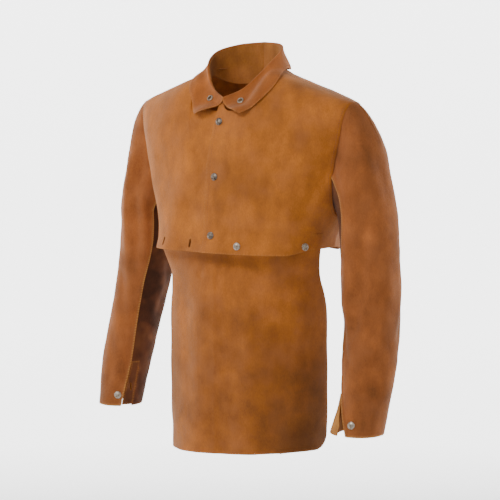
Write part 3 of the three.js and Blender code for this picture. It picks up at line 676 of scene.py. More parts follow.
def suede(name, colour, sheen=0.22, raw=linear(186, 120, 60), wear=0.75):
    """Brushed split cowhide: blotchy colour, a short nap, paler where it is cut or worn, and darker where
    painted shade is given.
    """
    n = Nodes(name)
    place = n.attribute("rest", "Vector")
    blotch = n.noise(place, 11, detail=2.5, roughness=0.6)
    patch = n.noise(place, 42, detail=4, roughness=0.62, stretch=(1, 1, 0.6))
    fibre = n.noise(place, 520, detail=3, roughness=0.7, stretch=(1, 1, 0.45))
    tone = n.ramp(blotch, [(0.32, scaled(colour, 0.74)), (0.52, colour), (0.72, scaled(colour, 1.28))])
    patches = n.ramp(patch, [(0.32, 0.78), (0.5, 0.98), (0.7, 1.19)])
    tone = n.blend("MULTIPLY", 0.85, tone, patches)
    fibres = n.ramp(fibre, [(0.28, 0.72), (0.5, 1.0), (0.74, 1.26)])
    tone = n.blend("MULTIPLY", 0.6, tone, fibres)
    redder = n.noise(place, 19, detail=2)
    tone = n.blend("MIX", n.ramp(redder, [(0.45, 0.0), (0.75, 0.3)]), tone, scaled((0.47, 0.16, 0.055), 0.9))
    # Painted shade: the attribute read here darkens the colour towards a cool grey wherever a mesh is painted
    # with it; only the bib has it.
    tone = n.blend("MULTIPLY", n.attribute("painted_shade", "Fac"), tone, (0.42, 0.44, 0.5))
    in_pits = 0.1 + max(wear - 0.75, 0) * 2
    rubbed = n.ramp(fibre, [(0.3, in_pits), (0.7, wear)])
    worn = n.math("MULTIPLY", n.attribute("worn", "Fac"), rubbed)
    tone = n.blend("MIX", worn, tone, raw)
    n.link(tone, n.shader.inputs["Base Color"])
    rough = n.ramp(patch, [(0.3, 0.86), (0.7, 0.98)])
    n.link(rough, n.shader.inputs["Roughness"])
    n.shader.inputs["Specular IOR Level"].default_value = 0.18
    n.shader.inputs["Sheen Weight"].default_value = sheen
    n.shader.inputs["Sheen Roughness"].default_value = 0.5
    n.shader.inputs["Sheen Tint"].default_value = (1.0, 0.82, 0.62, 1)
    grain = n.bump(n.noise(place, 150, detail=4, roughness=0.6), 0.35, 0.0016)
    short = n.bump(fibre, 0.55, 0.0009, grain)
    fine = n.bump(n.noise(place, 1700, detail=2), 0.4, 0.0004, short)
    n.link(fine, n.shader.inputs["Normal"])
    return n.material


def raw_edge(name, colour):
    """The cut edge: layered fibres along the sheet."""
    n = Nodes(name)
    place = n.attribute("rest", "Vector")
    fibre = n.noise(place, 1500, detail=3, roughness=0.7)
    patch = n.noise(place, 120, detail=2)
    tone = n.ramp(fibre, [(0.3, scaled(colour, 0.66)), (0.6, colour), (0.8, scaled(colour, 1.15))])
    tone = n.blend("MULTIPLY", 0.7, tone, n.ramp(patch, [(0.35, 0.72), (0.65, 1.08)]))
    n.link(tone, n.shader.inputs["Base Color"])
    n.shader.inputs["Roughness"].default_value = 0.95
    n.shader.inputs["Specular IOR Level"].default_value = 0.15
    n.link(n.bump(fibre, 0.8, 0.0006), n.shader.inputs["Normal"])
    return n.material


def metal(name, colour, tarnish, rough_low, rough_high):
    """Plated brass or steel with tarnish in patches and fine scratches."""
    n = Nodes(name)
    place = n.attribute("rest", "Vector")
    cloud = n.noise(place, 260, detail=4, roughness=0.65)
    scratch = n.noise(place, 900, detail=3, roughness=0.7, stretch=(1, 1, 6))
    tone = n.ramp(cloud, [(0.36, tarnish), (0.6, colour), (0.8, scaled(colour, 1.12))])
    n.link(tone, n.shader.inputs["Base Color"])
    n.link(n.ramp(cloud, [(0.35, rough_high), (0.65, rough_low)]), n.shader.inputs["Roughness"])
    n.shader.inputs["Metallic"].default_value = 1.0
    n.link(n.bump(scratch, 0.3, 0.0002), n.shader.inputs["Normal"])
    return n.material


def thread(name, colour):
    """Waxed thread with a twist."""
    n = Nodes(name)
    place = n.attribute("rest", "Vector")
    twist = n.noise(place, 2400, detail=2, stretch=(1, 1, 2.5))
    n.link(n.ramp(twist, [(0.3, scaled(colour, 0.6)), (0.6, colour)]), n.shader.inputs["Base Color"])
    n.shader.inputs["Roughness"].default_value = 0.7
    n.link(n.bump(twist, 0.5, 0.0003), n.shader.inputs["Normal"])
    return n.material


EDGE = raw_edge("cut_edge", linear(168, 106, 54))
INSIDE = suede("suede_inside_face", linear(158, 98, 44), sheen=0.12)
FRONT = suede("suede_front_face", linear(172, 99, 36))
BACK = suede("suede_back_face", linear(166, 94, 36))
COLLAR = suede("suede_collar_face", linear(162, 90, 37))
SLEEVE = suede("suede_sleeve_face", linear(148, 84, 40), raw=linear(204, 148, 80), wear=1.0)
SEAM_EDGE = raw_edge("seam_edge", linear(196, 140, 76))
# Painted shade: the under panels of both sleeves, and the right cuff tab, get a much darker suede than the
# outer panels, standing in for the shade between arm and body.
UNDER_SLEEVE_SHADED = suede("suede_under_sleeve_painted_shade", linear(80, 47, 30), sheen=0.05)
BIB = suede("suede_bib_face", linear(160, 91, 34))
TAB = suede("suede_tab_face", linear(180, 122, 58), sheen=0.12)
THREAD = thread("thread", linear(142, 84, 38))
NICKEL = metal("nickel", (0.5, 0.44, 0.37), (0.24, 0.17, 0.11), 0.26, 0.5)
ANTIQUE = metal("antique", (0.26, 0.21, 0.17), (0.07, 0.05, 0.035), 0.28, 0.55)
DARK = metal("snap_well", (0.16, 0.1, 0.06), (0.05, 0.035, 0.02), 0.45, 0.7)

# ---- how pieces move -----------------------------------------------------------------------


def attach(pieces, body=None):
    for piece in pieces:
        keep_rest(piece)
        if body:
            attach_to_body(piece, body)
        else:
            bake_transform(piece)


# ---- fasteners in the frame ----------------------------------------------------------------


def node_middle(node):
    low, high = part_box(node)
    return np.array((low + high) / 2) * 1000


FASTENERS = [name for name in frame["nodes"] if name.endswith(("_cap", "_collar_snap", "_post"))]
FASTENER_SPOTS = np.array([node_middle(name) for name in FASTENERS])


def calm(points, reach=17.0):
    """0 at a fastener, 1 away from all of them: folds fade out there."""
    gaps = ((points[..., None, :] - FASTENER_SPOTS) ** 2).sum(-1).min(-1)
    return 1 - np.exp(-gaps / reach ** 2)


def raised(grid, centre, height):
    normals, _ = outward_normals(grid, centre)
    return grid + normals * height[..., None]


# ---- cape ----------------------------------------------------------------------------------

BODY_CENTRE = np.array([0, -10, -200.0])


def body_folds(points, seed):
    soft = undulation(points, seed, 165, stretch=(1.5, 0.6, 0.45)) * 1.7
    small = undulation(points, seed + 7, 62, stretch=(1.2, 1, 0.9)) * 0.45
    return soft + small


FRONT_CREASES = [
    ((232, -60, -150), (168, -118, -332), 17, -4.2),
    ((215, -82, -118), (140, -122, -215), 15, 2.6),
    ((118, -125, -205), (88, -135, -338), 16, -2.4),
    ((60, -120, -96), (150, -95, -78), 15, 1.8),
    ((-228, -58, -180), (-178, -108, -318), 16, -2.6),
    ((-60, -128, -150), (-112, -124, -310), 18, 1.8),
    ((-210, -70, -120), (-120, -112, -108), 16, 1.6),
    ((150, -118, -250), (182, -108, -340), 12, 2.6),
]
BACK_CREASES = [
    ((200, 70, -150), (120, 118, -320), 18, -3.4),
    ((-200, 70, -150), (-120, 118, -320), 18, -3.4),
    ((60, 118, -90), (-70, 122, -110), 18, -2.2),
    ((40, 122, -190), (20, 126, -340), 16, 2.0),
    ((-90, 118, -180), (-70, 124, -335), 15, 2.2),
]


def drawn_in(grid):
    """The sides of the cape hang closer to the wearer towards the hem, and rise a little at the seams."""
    low = 1 - smoothstep(grid[..., 2], HEM_Z, CHEST_Z - 20)
    by_side = smoothstep(np.abs(grid[..., 0]), 150, 212) * low
    flank = smoothstep(np.abs(grid[..., 0]), 60, 150) * low
    moved = grid.copy()
    moved[..., 0] -= np.sign(grid[..., 0]) * 20 * by_side
    moved[..., 1] -= 30 * flank * smoothstep(grid[..., 1], 0, 60)
    moved[..., 2] += 11 * by_side * (1 - smoothstep(grid[..., 2], HEM_Z, HEM_Z + 60)) * (grid[..., 0] > 0)
    return moved


def shaped_panel(side, front, inner_edge, seed, lift=None):
    grid = panel_grid(side, front, inner_edge, lift)
    height = body_folds(grid, seed)
    for fold in (FRONT_CREASES if front else BACK_CREASES):
        height = height + crease(grid, *fold)
    level = np.linspace(0, 1, grid.shape[0])[:, None]
    across = np.linspace(0, 1, grid.shape[1])[None, :]
    by_armhole = smoothstep(across, 0.93, 1.0) * smoothstep(level, 0.15, 0.3)
    held = (1 - smoothstep(level, 0.9, 1.0)) * (1 - by_armhole)
    if not front:
        held = held * smoothstep(across, 0.0, 0.05)
    ripple = 1.8 * np.sin(grid[..., 0] / 27.0 + 0.9) * (1 - smoothstep(level, 0.0, 0.2))
    flare = 4.2 * (1 - smoothstep(level, 0.0, 0.09)) * (1 - smoothstep(across, 0.75, 0.95)) if front else 0.0
    return drawn_in(raised(grid, BODY_CENTRE, (height + ripple + flare) * held * calm(grid)))


left_front_grid = shaped_panel(1, True, angle_of_x(FREE_EDGE_X), 11, lap_lift)
right_front_grid = shaped_panel(-1, True, -angle_of_x(UNDERLAP_X), 11)
back_grids = {side: shaped_panel(side, False, 0.0, 23) for side in (1, -1)}

SLOT_X = (-56, -129)
SLOT_Z = -329
SLOT_SIZE = (5.2, 17.0)


def slot_wear(points):
    """Cut edges of the slots in the right front."""
    spots = np.array([[x, 0, SLOT_Z] for x in SLOT_X], float)
    gap = points[:, None] - spots
    away = np.abs(np.hypot(gap[..., 0] / 3.6, gap[..., 2] / 9.6) - 1).min(-1)
    return np.where(points[:, 1] < 0, np.exp(-((away / 0.35) ** 2)), 0) * 0.85


left_front = leather("left_front", left_front_grid, BODY_CENTRE, (FRONT, INSIDE, EDGE), raw="bl")
right_front = leather("right_front", right_front_grid, BODY_CENTRE, (FRONT, INSIDE, EDGE), raw="bl",
                      wear=slot_wear)
backs = [
    leather(f"{word}_back", back_grids[side], BODY_CENTRE, (BACK, INSIDE, EDGE), raw="b")
    for word, side in SIDES
]


def surface_tree(*objects):
    return [
        BVHTree.FromPolygons([v.co.copy() for v in o.data.vertices], [p.vertices[:] for p in o.data.polygons])
        for o in objects
    ]


def seat(trees, point, direction):
    """The first surface met from point along direction, both in millimetres: (place, normal)."""
    best = None
    for tree in trees:
        place, normal, _, distance = tree.ray_cast(Vector(point) / 1000, Vector(direction).normalized())
        if place is not None and (best is None or distance < best[2]):
            best = (np.array(place) * 1000, np.array(normal), distance)
    return best


def cut_slots(obj, reach, places, size):
    """Cuts round-ended slots through a sheet: places are (point, axis), size is (width, length)."""
    width, length = size
    for k, (place, axis) in enumerate(places):
        axis = unit(np.array(axis, float))
        up = unit(np.array([0, 0, 1.0]) - axis * axis[2])
        side = np.cross(up, axis)
        outline = []
        for end, first in ((1, 0), (-1, math.pi)):
            for turn in np.linspace(first, first + math.pi, 9):
                outline.append(side * math.cos(turn) * width / 2
                               + up * (math.sin(turn) * width / 2 + end * (length - width) / 2))
        count = len(outline)
        points = [np.array(place) + p + axis * reach for p in outline]
        points += [np.array(place) + p - axis * reach for p in outline]
        faces = [(count + j, count + (j + 1) % count, (j + 1) % count, j) for j in range(count)]
        faces += [tuple(range(count)), tuple(reversed(range(count, 2 * count)))]
        cutter = mesh_piece(f"slot_cutter_{k}", points, faces, obj.data.materials[:], [2] * len(faces))
        modifier = obj.modifiers.new("slot", "BOOLEAN")
        modifier.operation = "DIFFERENCE"
        modifier.solver = "EXACT"
        modifier.object = cutter
        apply_modifiers(obj)
        bpy.data.objects.remove(cutter)
    obj.data.set_sharp_from_angle(angle=SHARP)


def apply_modifiers(obj):
    bpy.context.view_layer.update()
    graph = bpy.context.evaluated_depsgraph_get()
    shaped = obj.evaluated_get(graph)
    mesh = bpy.data.meshes.new_from_object(shaped, preserve_all_data_layers=True, depsgraph=graph)
    obj.modifiers.clear()
    old = obj.data
    obj.data = mesh
    bpy.data.meshes.remove(old)


right_tree = surface_tree(right_front)
slot_places = []
for x in SLOT_X:
    found = seat(right_tree, (x, -300, SLOT_Z), (0, 1, 0))
    slot_places.append((found[0], found[1]))
cut_slots(right_front, 6.0, slot_places, SLOT_SIZE)

left_normals, _ = outward_normals(left_front_grid, BODY_CENTRE)
right_normals, _ = outward_normals(right_front_grid, BODY_CENTRE)
left_front_stitching = stitches("left_front_stitching", [
    inset_path(left_front_grid, left_normals, "l", 9, 0.0, 0.97),
    inset_path(left_front_grid, left_normals, "t", 6, 0.32, 0.97),
    inset_path(left_front_grid, left_normals, "r", 6, 0.27, 0.98),
], THREAD)
right_front_stitching = stitches("right_front_stitching", [
    inset_path(right_front_grid, right_normals, "t", 6, 0.32, 0.97),
    inset_path(right_front_grid, right_normals, "r", 6, 0.27, 0.98),
], THREAD)
back_stitching = []
for word, side in SIDES:
    normals, _ = outward_normals(back_grids[side], BODY_CENTRE)
    back_stitching.append(stitches(f"{word}_back_stitching", [
        inset_path(back_grids[side], normals, "l", 4, 0.0, 0.97),
        inset_path(back_grids[side], normals, "r", 6, 0.27, 0.98),
    ], THREAD))

attach([left_front, left_front_stitching])
attach([right_front, right_front_stitching, *backs, *back_stitching], body="root")
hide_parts("left_front_panel", "left_front_flap")
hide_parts("right_front_panel")
for piece, node in zip(backs, ("left_back_panel", "right_back_panel")):
    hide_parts(node)

# ---- bib -----------------------------------------------------------------------------------

BIB_CREASES = [
    ((135, -118, -356), (138, -118, -420), 8, -4.5),
    ((-30, -136, -352), (-36, -136, -398), 8, -2.6),
    ((60, -134, -380), (96, -124, -700), 26, 3.2),
    ((-92, -120, -400), (-60, -130, -690), 26, -3.0),
    ((160, -66, -420), (150, -80, -720), 18, 3.4),
    ((-150, -70, -440), (-160, -60, -700), 18, 3.0),
]


def bib_grid():
    levels = np.concatenate([
        BIB_BOTTOM_Z + BIB_CORNER * (1 - np.cos(np.linspace(0, math.pi / 2, 18, endpoint=False))),
        np.linspace(BIB_BOTTOM_Z + BIB_CORNER, BIB_TOP_Z, 145),
    ])
    rows = []
    for z in levels:
        half = bib_half_angle(z)
        angle = half * np.linspace(-1, 1, 176)
        row = bib_point(angle, z)
        low = np.clip((BIB_FOLD_END_Z - z) / (BIB_FOLD_END_Z - BIB_BOTTOM_Z), 0, 1)
        row[:, 2] += BIB_BOTTOM_TILT * row[:, 0] * low
        rows.append(row)
    return np.array(rows)


BIB_CENTRE = np.array([0, 60, -520.0])
bib_base = bib_grid()
bib_height = undulation(bib_base, 41, 210, stretch=(1.6, 0.5, 0.35)) * 2.4
bib_height += undulation(bib_base, 47, 70, stretch=(1.1, 1, 0.8)) * 0.5
for fold in BIB_CREASES:
    bib_height += crease(bib_base, *fold)
bib_height += 1.1 * np.exp(-np.abs(bib_base[..., 0]) / 5.0)
bib_height *= smoothstep(-bib_base[..., 2], 352, 400)
bib_middle = 1 - smoothstep(np.abs(bib_base[..., 0]), 100, 165)
bib_height -= 8.5 * bib_middle * np.exp(-(((bib_base[..., 2] + 357) / 17) ** 2))
bib_grid_folded = raised(bib_base, BIB_CENTRE, bib_height)
bib_near_hem = 1 - smoothstep(-bib_grid_folded[..., 2], 352, 420)
bib_side = smoothstep(np.abs(bib_grid_folded[..., 0]), 145, 190)
bib_grid_folded[..., 0] -= np.sign(bib_grid_folded[..., 0]) * 4 * bib_side * bib_near_hem
bib = leather("bib", bib_grid_folded, BIB_CENTRE, (BIB, INSIDE, EDGE), raw="bltr")
bib_points = np.array([v.co[:] for v in bib.data.vertices]) * 1000
# Painted shade on the bib: darker towards the wearer's left and lower down, standing in for the shade cast by
# the sleeve and body.
paint(bib, "painted_shade", smoothstep(bib_points[:, 0], 20, 175) * smoothstep(-bib_points[:, 2], 470, 700))
attach([bib])
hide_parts("bib_band", "bib_fold", "bib_panel")

# ---- collar --------------------------------------------------------------------------------


def collar_frame(side, along):
    """Base, fold, leaf edge and the outward direction at a place along the collar half."""
    sign = np.array([side, 1, 1])
    base, fold, edge = (catmull(curve, along) * sign for curve in (NECK_BASE, FOLD, LEAF_EDGE))
    outward = unit(np.array([fold[0], fold[1] - COLLAR_CENTRE_Y, 0.0]))
    return base, fold, edge, outward


def height_needed(point, outward, trees, wanted):
    """How far a point of the leaf has to move outwards to clear the body."""
    found = seat(trees, point + outward * 100, -outward)
    if found is None:
        return 0.0
    height = float((point - found[0]) @ outward)
    return wanted - height if -30 < height < wanted else 0.0


def spread_out(values, grow, smooth):
    """Grows the high places of a grid of numbers, then smooths it."""
    def neighbours(grid):
        wide = np.pad(grid, 1, mode="edge")
        rows, columns = grid.shape
        return np.stack([wide[i:i + rows, j:j + columns] for i in range(3) for j in range(3)])
    for _ in range(grow):
        values = neighbours(values).max(0)
    for _ in range(smooth):
        values = neighbours(values).mean(0)
    return values


def leaf_grid(side, trees, columns=74):
    """The leaf, over the fold and down inside it: from its lower edge to the inside."""
    shares = np.linspace(0, 1, 26)
    outer, lifts, frames = [], [], []
    for along in np.linspace(0.0, 1.0, columns):
        _, fold, edge, outward = collar_frame(side, along)
        top = fold + np.array([0, 0, 0.6])
        if side < 0:
            edge = mix(edge, top, 0.17 * smoothstep(along, 0.05, 0.22) * (1 - smoothstep(along, 0.5, 0.8)))
        chord = top - edge
        rising = np.array([0, 0, 1.0]) * np.linalg.norm(chord) * 0.85
        lifted = unit(outward + np.array([0, 0, 0.9]))
        line = []
        for v in shares:
            v2, v3 = v * v, v * v * v
            line.append(edge * (2 * v3 - 3 * v2 + 1) + (chord + outward * 9) * (v3 - 2 * v2 + v)
                        + top * (3 * v2 - 2 * v3) + rising * (v3 - v2))
        outer.append(line)
        lifts.append([height_needed(point, lifted, trees, LEATHER + LEAF_REST) for point in line])
        frames.append((along, outward, lifted))
    fade = 1 - smoothstep(shares, 0.72, 0.95)
    lifts = spread_out(np.array(lifts), 2, 5) * fade
    rows = []
    for line, lift, (along, outward, lifted) in zip(np.array(outer), lifts, frames):
        curl = 11.0 * (1 - smoothstep(along, 0.0, 0.12)) * np.sin(math.pi * np.minimum(shares + 0.32, 1))
        line = line + lifted * lift[:, None] + np.array([0, -1, 0.25]) * curl[:, None]
        middle = line[-1] - outward * ROLL_RADIUS
        turns = np.linspace(0, math.pi, 11)[1:, None]
        roll = middle + ROLL_RADIUS * (outward * np.cos(turns) + np.array([0, 0, 1]) * np.sin(turns))
        drops = np.linspace(0, TURNED_IN, 5)[1:, None]
        rows.append(np.concatenate([line, roll, roll[-1] - np.array([0, 0, 1]) * drops]))
    return np.array(rows).transpose(1, 0, 2)


def half_stand(side, columns=80):
    rows = []
    for along in np.linspace(0.0, 1.0, columns):
        base, fold, _, outward = collar_frame(side, along)
        inset = outward * (STAND_INSET + 0.5)
        base = base - np.array([0, 0, 7.0]) * smoothstep(along, 0.1, 0.35)
        base = base + np.array([0, 3.0, -34.0]) * smoothstep(along, 0.42, 0.85)
        rows.append([mix(base, fold, v) - inset for v in np.linspace(0, 1, 16)])
    return np.array(rows).transpose(1, 0, 2)


COLLAR_CENTRE = np.array([0, COLLAR_CENTRE_Y, 10.0])
body_trees = surface_tree(left_front, right_front, *backs)
for word, side in SIDES:
    stand = leather(f"{word}_collar_stand_leather", half_stand(side), COLLAR_CENTRE, (COLLAR, INSIDE, EDGE))
    attach([stand], body="root")
    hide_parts(f"{word}_collar_stand")
    grid = leaf_grid(side, body_trees)
    normals, _ = outward_normals(grid, COLLAR_CENTRE)
    leaf = leather(f"{word}_collar_leather", grid, COLLAR_CENTRE, (COLLAR, COLLAR, EDGE), raw="bl")
    seams = [inset_path(grid, normals, "b", 6, 0.06, 1.0), inset_path(grid, normals, "l", 6, 0.16, 0.56)]
    leaf_stitching = stitches(f"{word}_collar_stitching", seams, THREAD)
    attach([leaf, leaf_stitching])
    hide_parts(f"{word}_collar_leaf", f"{word}_collar_point")

# ---- sleeves -------------------------------------------------------------------------------


def lap_rise(turn, front_edge):
    """The outer panel's edges ride up onto the under panel."""
    near_front = smoothstep(turn, front_edge - 9, front_edge - 2)
    near_back = 1 - smoothstep(turn, BACK_SEAM - 360 - 1, BACK_SEAM - 360 + 7)
    return 2.1 * np.maximum(near_front, near_back)


def sleeve_surface(word, turns, stations, flare=0.0):
    """Points of one sleeve on its own side.

    turns is rows x columns; stations are ('head', share of the head) or ('down', height).
    """
    side = 1 if word == "left" else -1
    rows = []
    for row_turns, (part, value) in zip(turns, stations):
        if part == "head":
            rows.append([head_point(turn, value) for turn in row_turns])
        else:
            rows.append(sleeve_at(row_turns, np.full(len(row_turns), value)))
    grid = np.array(rows)
    middle_z = grid[..., 2]
    centre = np.stack([sleeve_value("x", middle_z), sleeve_value("y", middle_z), middle_z], -1)
    away = unit((grid - centre) * np.array([1, 1, 0.0]))
    height = np.zeros(grid.shape[:2])
    for path, width, size in SLEEVE_FOLDS[word]:
        height += hollow(turns % 360, middle_z, path, width, size)
    height += undulation(grid, 61 + side, 95, stretch=(1, 1, 0.5)) * 1.1
    height += undulation(grid, 67 + side, 40) * 0.35
    from_head = np.array([
        smoothstep(value, 0.12, 0.5) if part == "head" else 1.0
        for part, value in stations
    ])
    end_calm = 0.35 + 0.65 * smoothstep(middle_z, SLEEVE_END_Z, SLEEVE_END_Z + 60)
    mirror = np.array([side, 1, 1])
    height *= from_head[:, None] * end_calm * calm(grid * mirror)
    grid = grid + away * height[..., None]
    spread = flare * to_cuff(middle_z) ** 1.5
    return (grid + away * spread[..., None]) * mirror


UPPER_STATIONS = [("head", v) for v in np.linspace(0, 1, 46)[:-1]] + [
    ("down", z) for z in np.linspace(SLEEVE_TOP_Z, ELBOW_Z + ELBOW_HALF, 56)]
LOWER_STATIONS = [("down", z) for z in np.linspace(ELBOW_Z + ELBOW_HALF, SLEEVE_END_Z, 112)]


def heights(stations):
    return np.array([value if part == "down" else SLEEVE_TOP_Z for part, value in stations])


def span(start, end, columns):
    """Turns from start to end on every row; start and end are a number or one number a row."""
    first, last = np.broadcast_arrays(start, end)
    return mix(first[:, None], last[:, None], np.linspace(0, 1, columns)[None, :])


def sleeve_line(sign, grid):
    """The middle of the sleeve beside each point of a grid."""
    z = grid[..., 2]
    return np.stack([sign * sleeve_value("x", z), sleeve_value("y", z), z], -1)


def sleeve_section(word, sign, part, stations, edges, raw):
    """One length of sleeve, its outer and under panels and the seam thread."""
    outer_end, under_start = edges
    outer_turns = span(BACK_SEAM - 360, outer_end, 108)
    under_turns = span(under_start, BACK_SEAM + SEAM_LAP, 46)
    outer_grid = sleeve_surface(word, outer_turns, stations)
    under_grid = sleeve_surface(word, under_turns, stations)
    line = sleeve_line(sign, outer_grid)
    outer_grid = raised(outer_grid, line, lap_rise(outer_turns, outer_turns[:, -1:]))
    name = f"{word}_{part}_sleeve"
    outer = leather(f"{name}_outer_leather", outer_grid, line, (SLEEVE, INSIDE, SEAM_EDGE), raw=raw[0])
    # The under panel takes the darker suede that carries painted shade.
    under = leather(f"{name}_under_leather", under_grid, sleeve_line(sign, under_grid),
                    (UNDER_SLEEVE_SHADED, INSIDE, EDGE), raw=raw[1])
    normals, _ = outward_normals(outer_grid, line)
    seams = [inset_path(outer_grid, normals, "r", 4.0), inset_path(outer_grid, normals, "l", 4.0)]
    seam_thread = stitches(f"{name}_stitching", seams, THREAD)
    if part == "upper":
        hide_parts(f"{word}_sleeve_head", f"{word}_upper_sleeve_outer")
        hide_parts(f"{word}_upper_sleeve_under")
    else:
        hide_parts(f"{word}_sleeve_elbow", f"{word}_forearm_outer")
        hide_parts(f"{word}_forearm_under")
    attach([outer, under, seam_thread])


def cuff_tab(word, sign):
    """The tab that lies in the vent, with its slot."""
    cuff = CUFFS[word]
    top_z = SLEEVE_END_Z + VENT_LENGTH - cuff["drop"]
    stations = [("down", z) for z in np.linspace(top_z, SLEEVE_END_Z + 3, 40)]
    start = np.maximum(cuff["tab_from"], vent_edge(word, heights(stations)) + 2.0)
    grid = sleeve_surface(word, span(start, cuff["tab_to"], 22), stations, flare=cuff["flare"])
    line = sleeve_line(sign, grid)
    # The right tab takes the under panels' suede with painted shade.
    face = TAB if word == "left" else UNDER_SLEEVE_SHADED
    tab = leather(f"{word}_cuff_tab_leather", grid, line, (face, INSIDE, EDGE), raw="blrt")
    normals, _ = outward_normals(grid, line)
    row, column = int(len(stations) * 0.58), 11
    cut_slots(tab, 5.0, [(grid[row, column], normals[row, column])], (4.0, 16.0))
    attach([tab], body=f"{word}_tab")
    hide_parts(f"{word}_cuff_tab")


for word, sign in SIDES:
    upper_seam = front_seam(word, heights(UPPER_STATIONS))
    lower = heights(LOWER_STATIONS)
    sleeve_section(word, sign, "upper", UPPER_STATIONS, (upper_seam, upper_seam - SEAM_LAP), ("lr", ""))
    sleeve_section(word, sign, "lower", LOWER_STATIONS, (vent_edge(word, lower), tab_side(word, lower)),
                   ("lrt", "tl"))
    cuff_tab(word, sign)

# ---- snap fasteners ------------------------------------------------------------------------

CAP = [(2.0, -3.2), (2.0, 0.1), (6.4, 0.1), (7.1, 0.35), (7.5, 0.95), (7.3, 1.5), (6.6, 1.95), (6.1, 1.98),
       (5.8, 1.8), (5.5, 1.95), (4.6, 2.45), (3.2, 2.85), (1.6, 3.05), (0, 3.12)]
RING = [(4.6, 0.0), (6.3, 0.1), (6.8, 0.6), (6.8, 1.2), (6.2, 1.9), (5.3, 2.3), (4.5, 2.1), (4.0, 1.5),
        (3.8, 0.7), (0, 0.6)]
RING_HIGHER = {"left": 5, "right": 11}   # how far above the node each collar ring sits


def place_snap(name, node, profile, trees, materials, body, outward, slots=None, higher=0.0):
    """A turned part on the leather over a node of the frame."""
    spot = node_middle(node) + np.array([0, 0, higher])
    found = seat(trees, spot + outward * 40, -outward) or (spot, outward)
    piece = turned(name, profile, found[0], found[1], materials, slots=slots)
    attach([piece], body=body)
    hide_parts(node)


bodies_of = {
    node: body
    for body, nodes in frame["record"]["behaviour"]["bodies"].items()
    for node in nodes
}
FORWARD = np.array([0, -1.0, 0])
left_tree = surface_tree(left_front)


def radial(node):
    spot = node_middle(node)
    return unit(np.array([spot[0] / HEM_HALF_WIDTH ** 2, spot[1] / FRONT_DEPTH_HEM ** 2, 0]))


for place in ("top", "middle", "lower"):
    node = f"{place}_snap_cap"
    place_snap(f"{place}_cap", node, CAP, left_tree, [ANTIQUE], bodies_of[node], FORWARD)
for place in ("inner", "outer"):
    node = f"hem_{place}_snap_cap"
    place_snap(f"hem_{place}_cap", node, CAP, left_tree, [NICKEL], bodies_of[node], radial(node))

for word, sign in SIDES:
    leaf_tree = surface_tree(bpy.data.objects[f"{word}_collar_leather"])
    facing = unit(np.array([sign * 0.3, -0.87, 0.38]))
    place_snap(f"{word}_collar_ring", f"{word}_collar_snap", RING, leaf_tree, [NICKEL, DARK],
               f"{word}_collar", facing, slots=[0] * 7 + [1, 1], higher=RING_HIGHER[word])
    node = f"{word}_cuff_snap_cap"
    spot = node_middle(node)
    sleeve_tree = surface_tree(bpy.data.objects[f"{word}_lower_sleeve_outer_leather"])
    place_snap(f"{word}_cuff_cap", node, CAP, sleeve_tree, [NICKEL], f"{word}_forearm",
               unit(spot - sleeve_line(sign, spot)))

for node, obj in frame["nodes"].items():
    if node.endswith(("_socket", "_stud", "_post")):
        dark = "bib" not in node and "hem" not in node and "cuff" not in node
        obj.data.materials.clear()
        obj.data.materials.append(ANTIQUE if dark else NICKEL)
        if "rest" not in obj.data.attributes:
            keep_rest(obj)
        modifier = obj.modifiers.new("smooth_rim", "BEVEL")
        modifier.width = 0.0002
        modifier.segments = 2
        modifier.limit_method = "ANGLE"

# ---- floor, light and camera ---------------------------------------------------------------

FLOOR_Z = -1250
SWEEP = [(radius, FLOOR_Z) for radius in (500, 1000, 1500, 2000, 2600, 3300, 4200)] + [
    (5200, -1200), (6000, -1020), (6600, -680), (7000, -160), (7150, 500), (7200, 1800)]


def studio_sweep(segments=96):
    """A pale floor that rises into a wall all round."""
    turns = np.linspace(0, 2 * math.pi, segments, endpoint=False)
    points = [(r * math.cos(t), r * math.sin(t), z) for r, z in SWEEP for t in turns]
    points.append((0, 0, FLOOR_Z))
    middle = len(points) - 1
    faces = [(middle, k, (k + 1) % segments) for k in range(segments)]
    for j in range(len(SWEEP) - 1):
        for k in range(segments):
            a, b = j * segments + k, j * segments + (k + 1) % segments
            faces.append((a, a + segments, b + segments, b))
    return mesh_piece("studio_floor", points, faces, [])


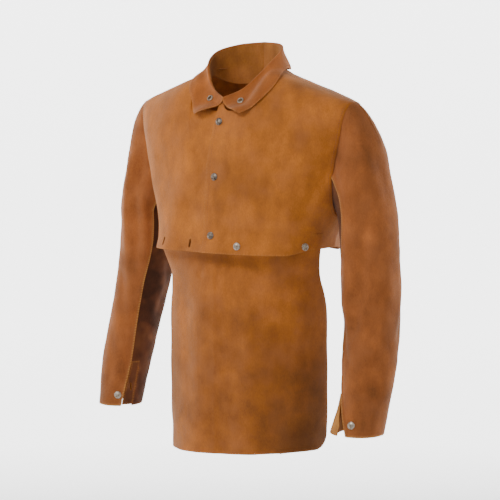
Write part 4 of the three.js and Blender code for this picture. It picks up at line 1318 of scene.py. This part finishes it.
floor = studio_sweep()
floor_nodes = Nodes("floor_paint")
floor_nodes.shader.inputs["Base Color"].default_value = (0.95, 0.95, 0.95, 1)
floor_nodes.shader.inputs["Roughness"].default_value = 0.9
# Painted light: the floor glows wherever its glow attribute is painted.
floor_nodes.shader.inputs["Emission Color"].default_value = (1, 1, 1, 1)
floor_nodes.link(floor_nodes.attribute("glow", "Fac"), floor_nodes.shader.inputs["Emission Strength"])
floor.data.materials.append(floor_nodes.material)

AZIMUTH, ELEVATION, DISTANCE = math.radians(35.3), math.radians(5.3), 3.6
to_camera = Vector((math.sin(AZIMUTH) * math.cos(ELEVATION), -math.cos(AZIMUTH) * math.cos(ELEVATION),
                    math.sin(ELEVATION)))
to_right = Vector((math.cos(AZIMUTH), math.sin(AZIMUTH), 0))
target = Vector((0, 0, -0.35)) - to_right * 0.009

camera = bpy.data.objects.new("camera", bpy.data.cameras.new("camera"))
camera.data.lens = 129.6
camera.data.sensor_width = 36
camera.location = target + to_camera * DISTANCE
camera.rotation_euler = (-to_camera).to_track_quat("-Z", "Y").to_euler()
bpy.context.scene.collection.objects.link(camera)
bpy.context.scene.camera = camera


def area_light(name, place, power, size):
    light = bpy.data.lights.new(name, "AREA")
    light.energy = power
    light.size = size
    obj = bpy.data.objects.new(name, light)
    obj.location = place
    obj.rotation_euler = (target - Vector(place)).to_track_quat("-Z", "Y").to_euler()
    bpy.context.scene.collection.objects.link(obj)


up = Vector((0, 0, 1))
area_light("key", target + to_camera * 1.0 - to_right * 1.35 + up * 1.45, 26, 0.8)
area_light("fill", target + to_camera * 2.6 - to_right * 0.4 + up * 1.3, 12, 1.2)
area_light("rim", target - to_camera * 0.9 + to_right * 2.1 + up * 0.9, 16, 1.0)
area_light("back_rim", target - to_camera * 1.6 - to_right * 1.6 + up * 1.2, 22, 1.2)

# Painted light: the floor and wall behind the jacket, as seen from the main camera, are made to glow; this
# lights the jacket from behind and brightens the backdrop.
floor_points = np.array([v.co[:] for v in floor.data.vertices])
behind = -(floor_points @ np.array([to_camera.x, to_camera.y, 0]))
paint(floor, "glow", 3.0 * smoothstep(behind, 0.6, 2.6))

world = bpy.data.worlds.new("studio")
world.use_nodes = True
world.node_tree.nodes["Background"].inputs["Color"].default_value = (1, 1, 1, 1)
world.node_tree.nodes["Background"].inputs["Strength"].default_value = 0.34
bpy.context.scene.world = world
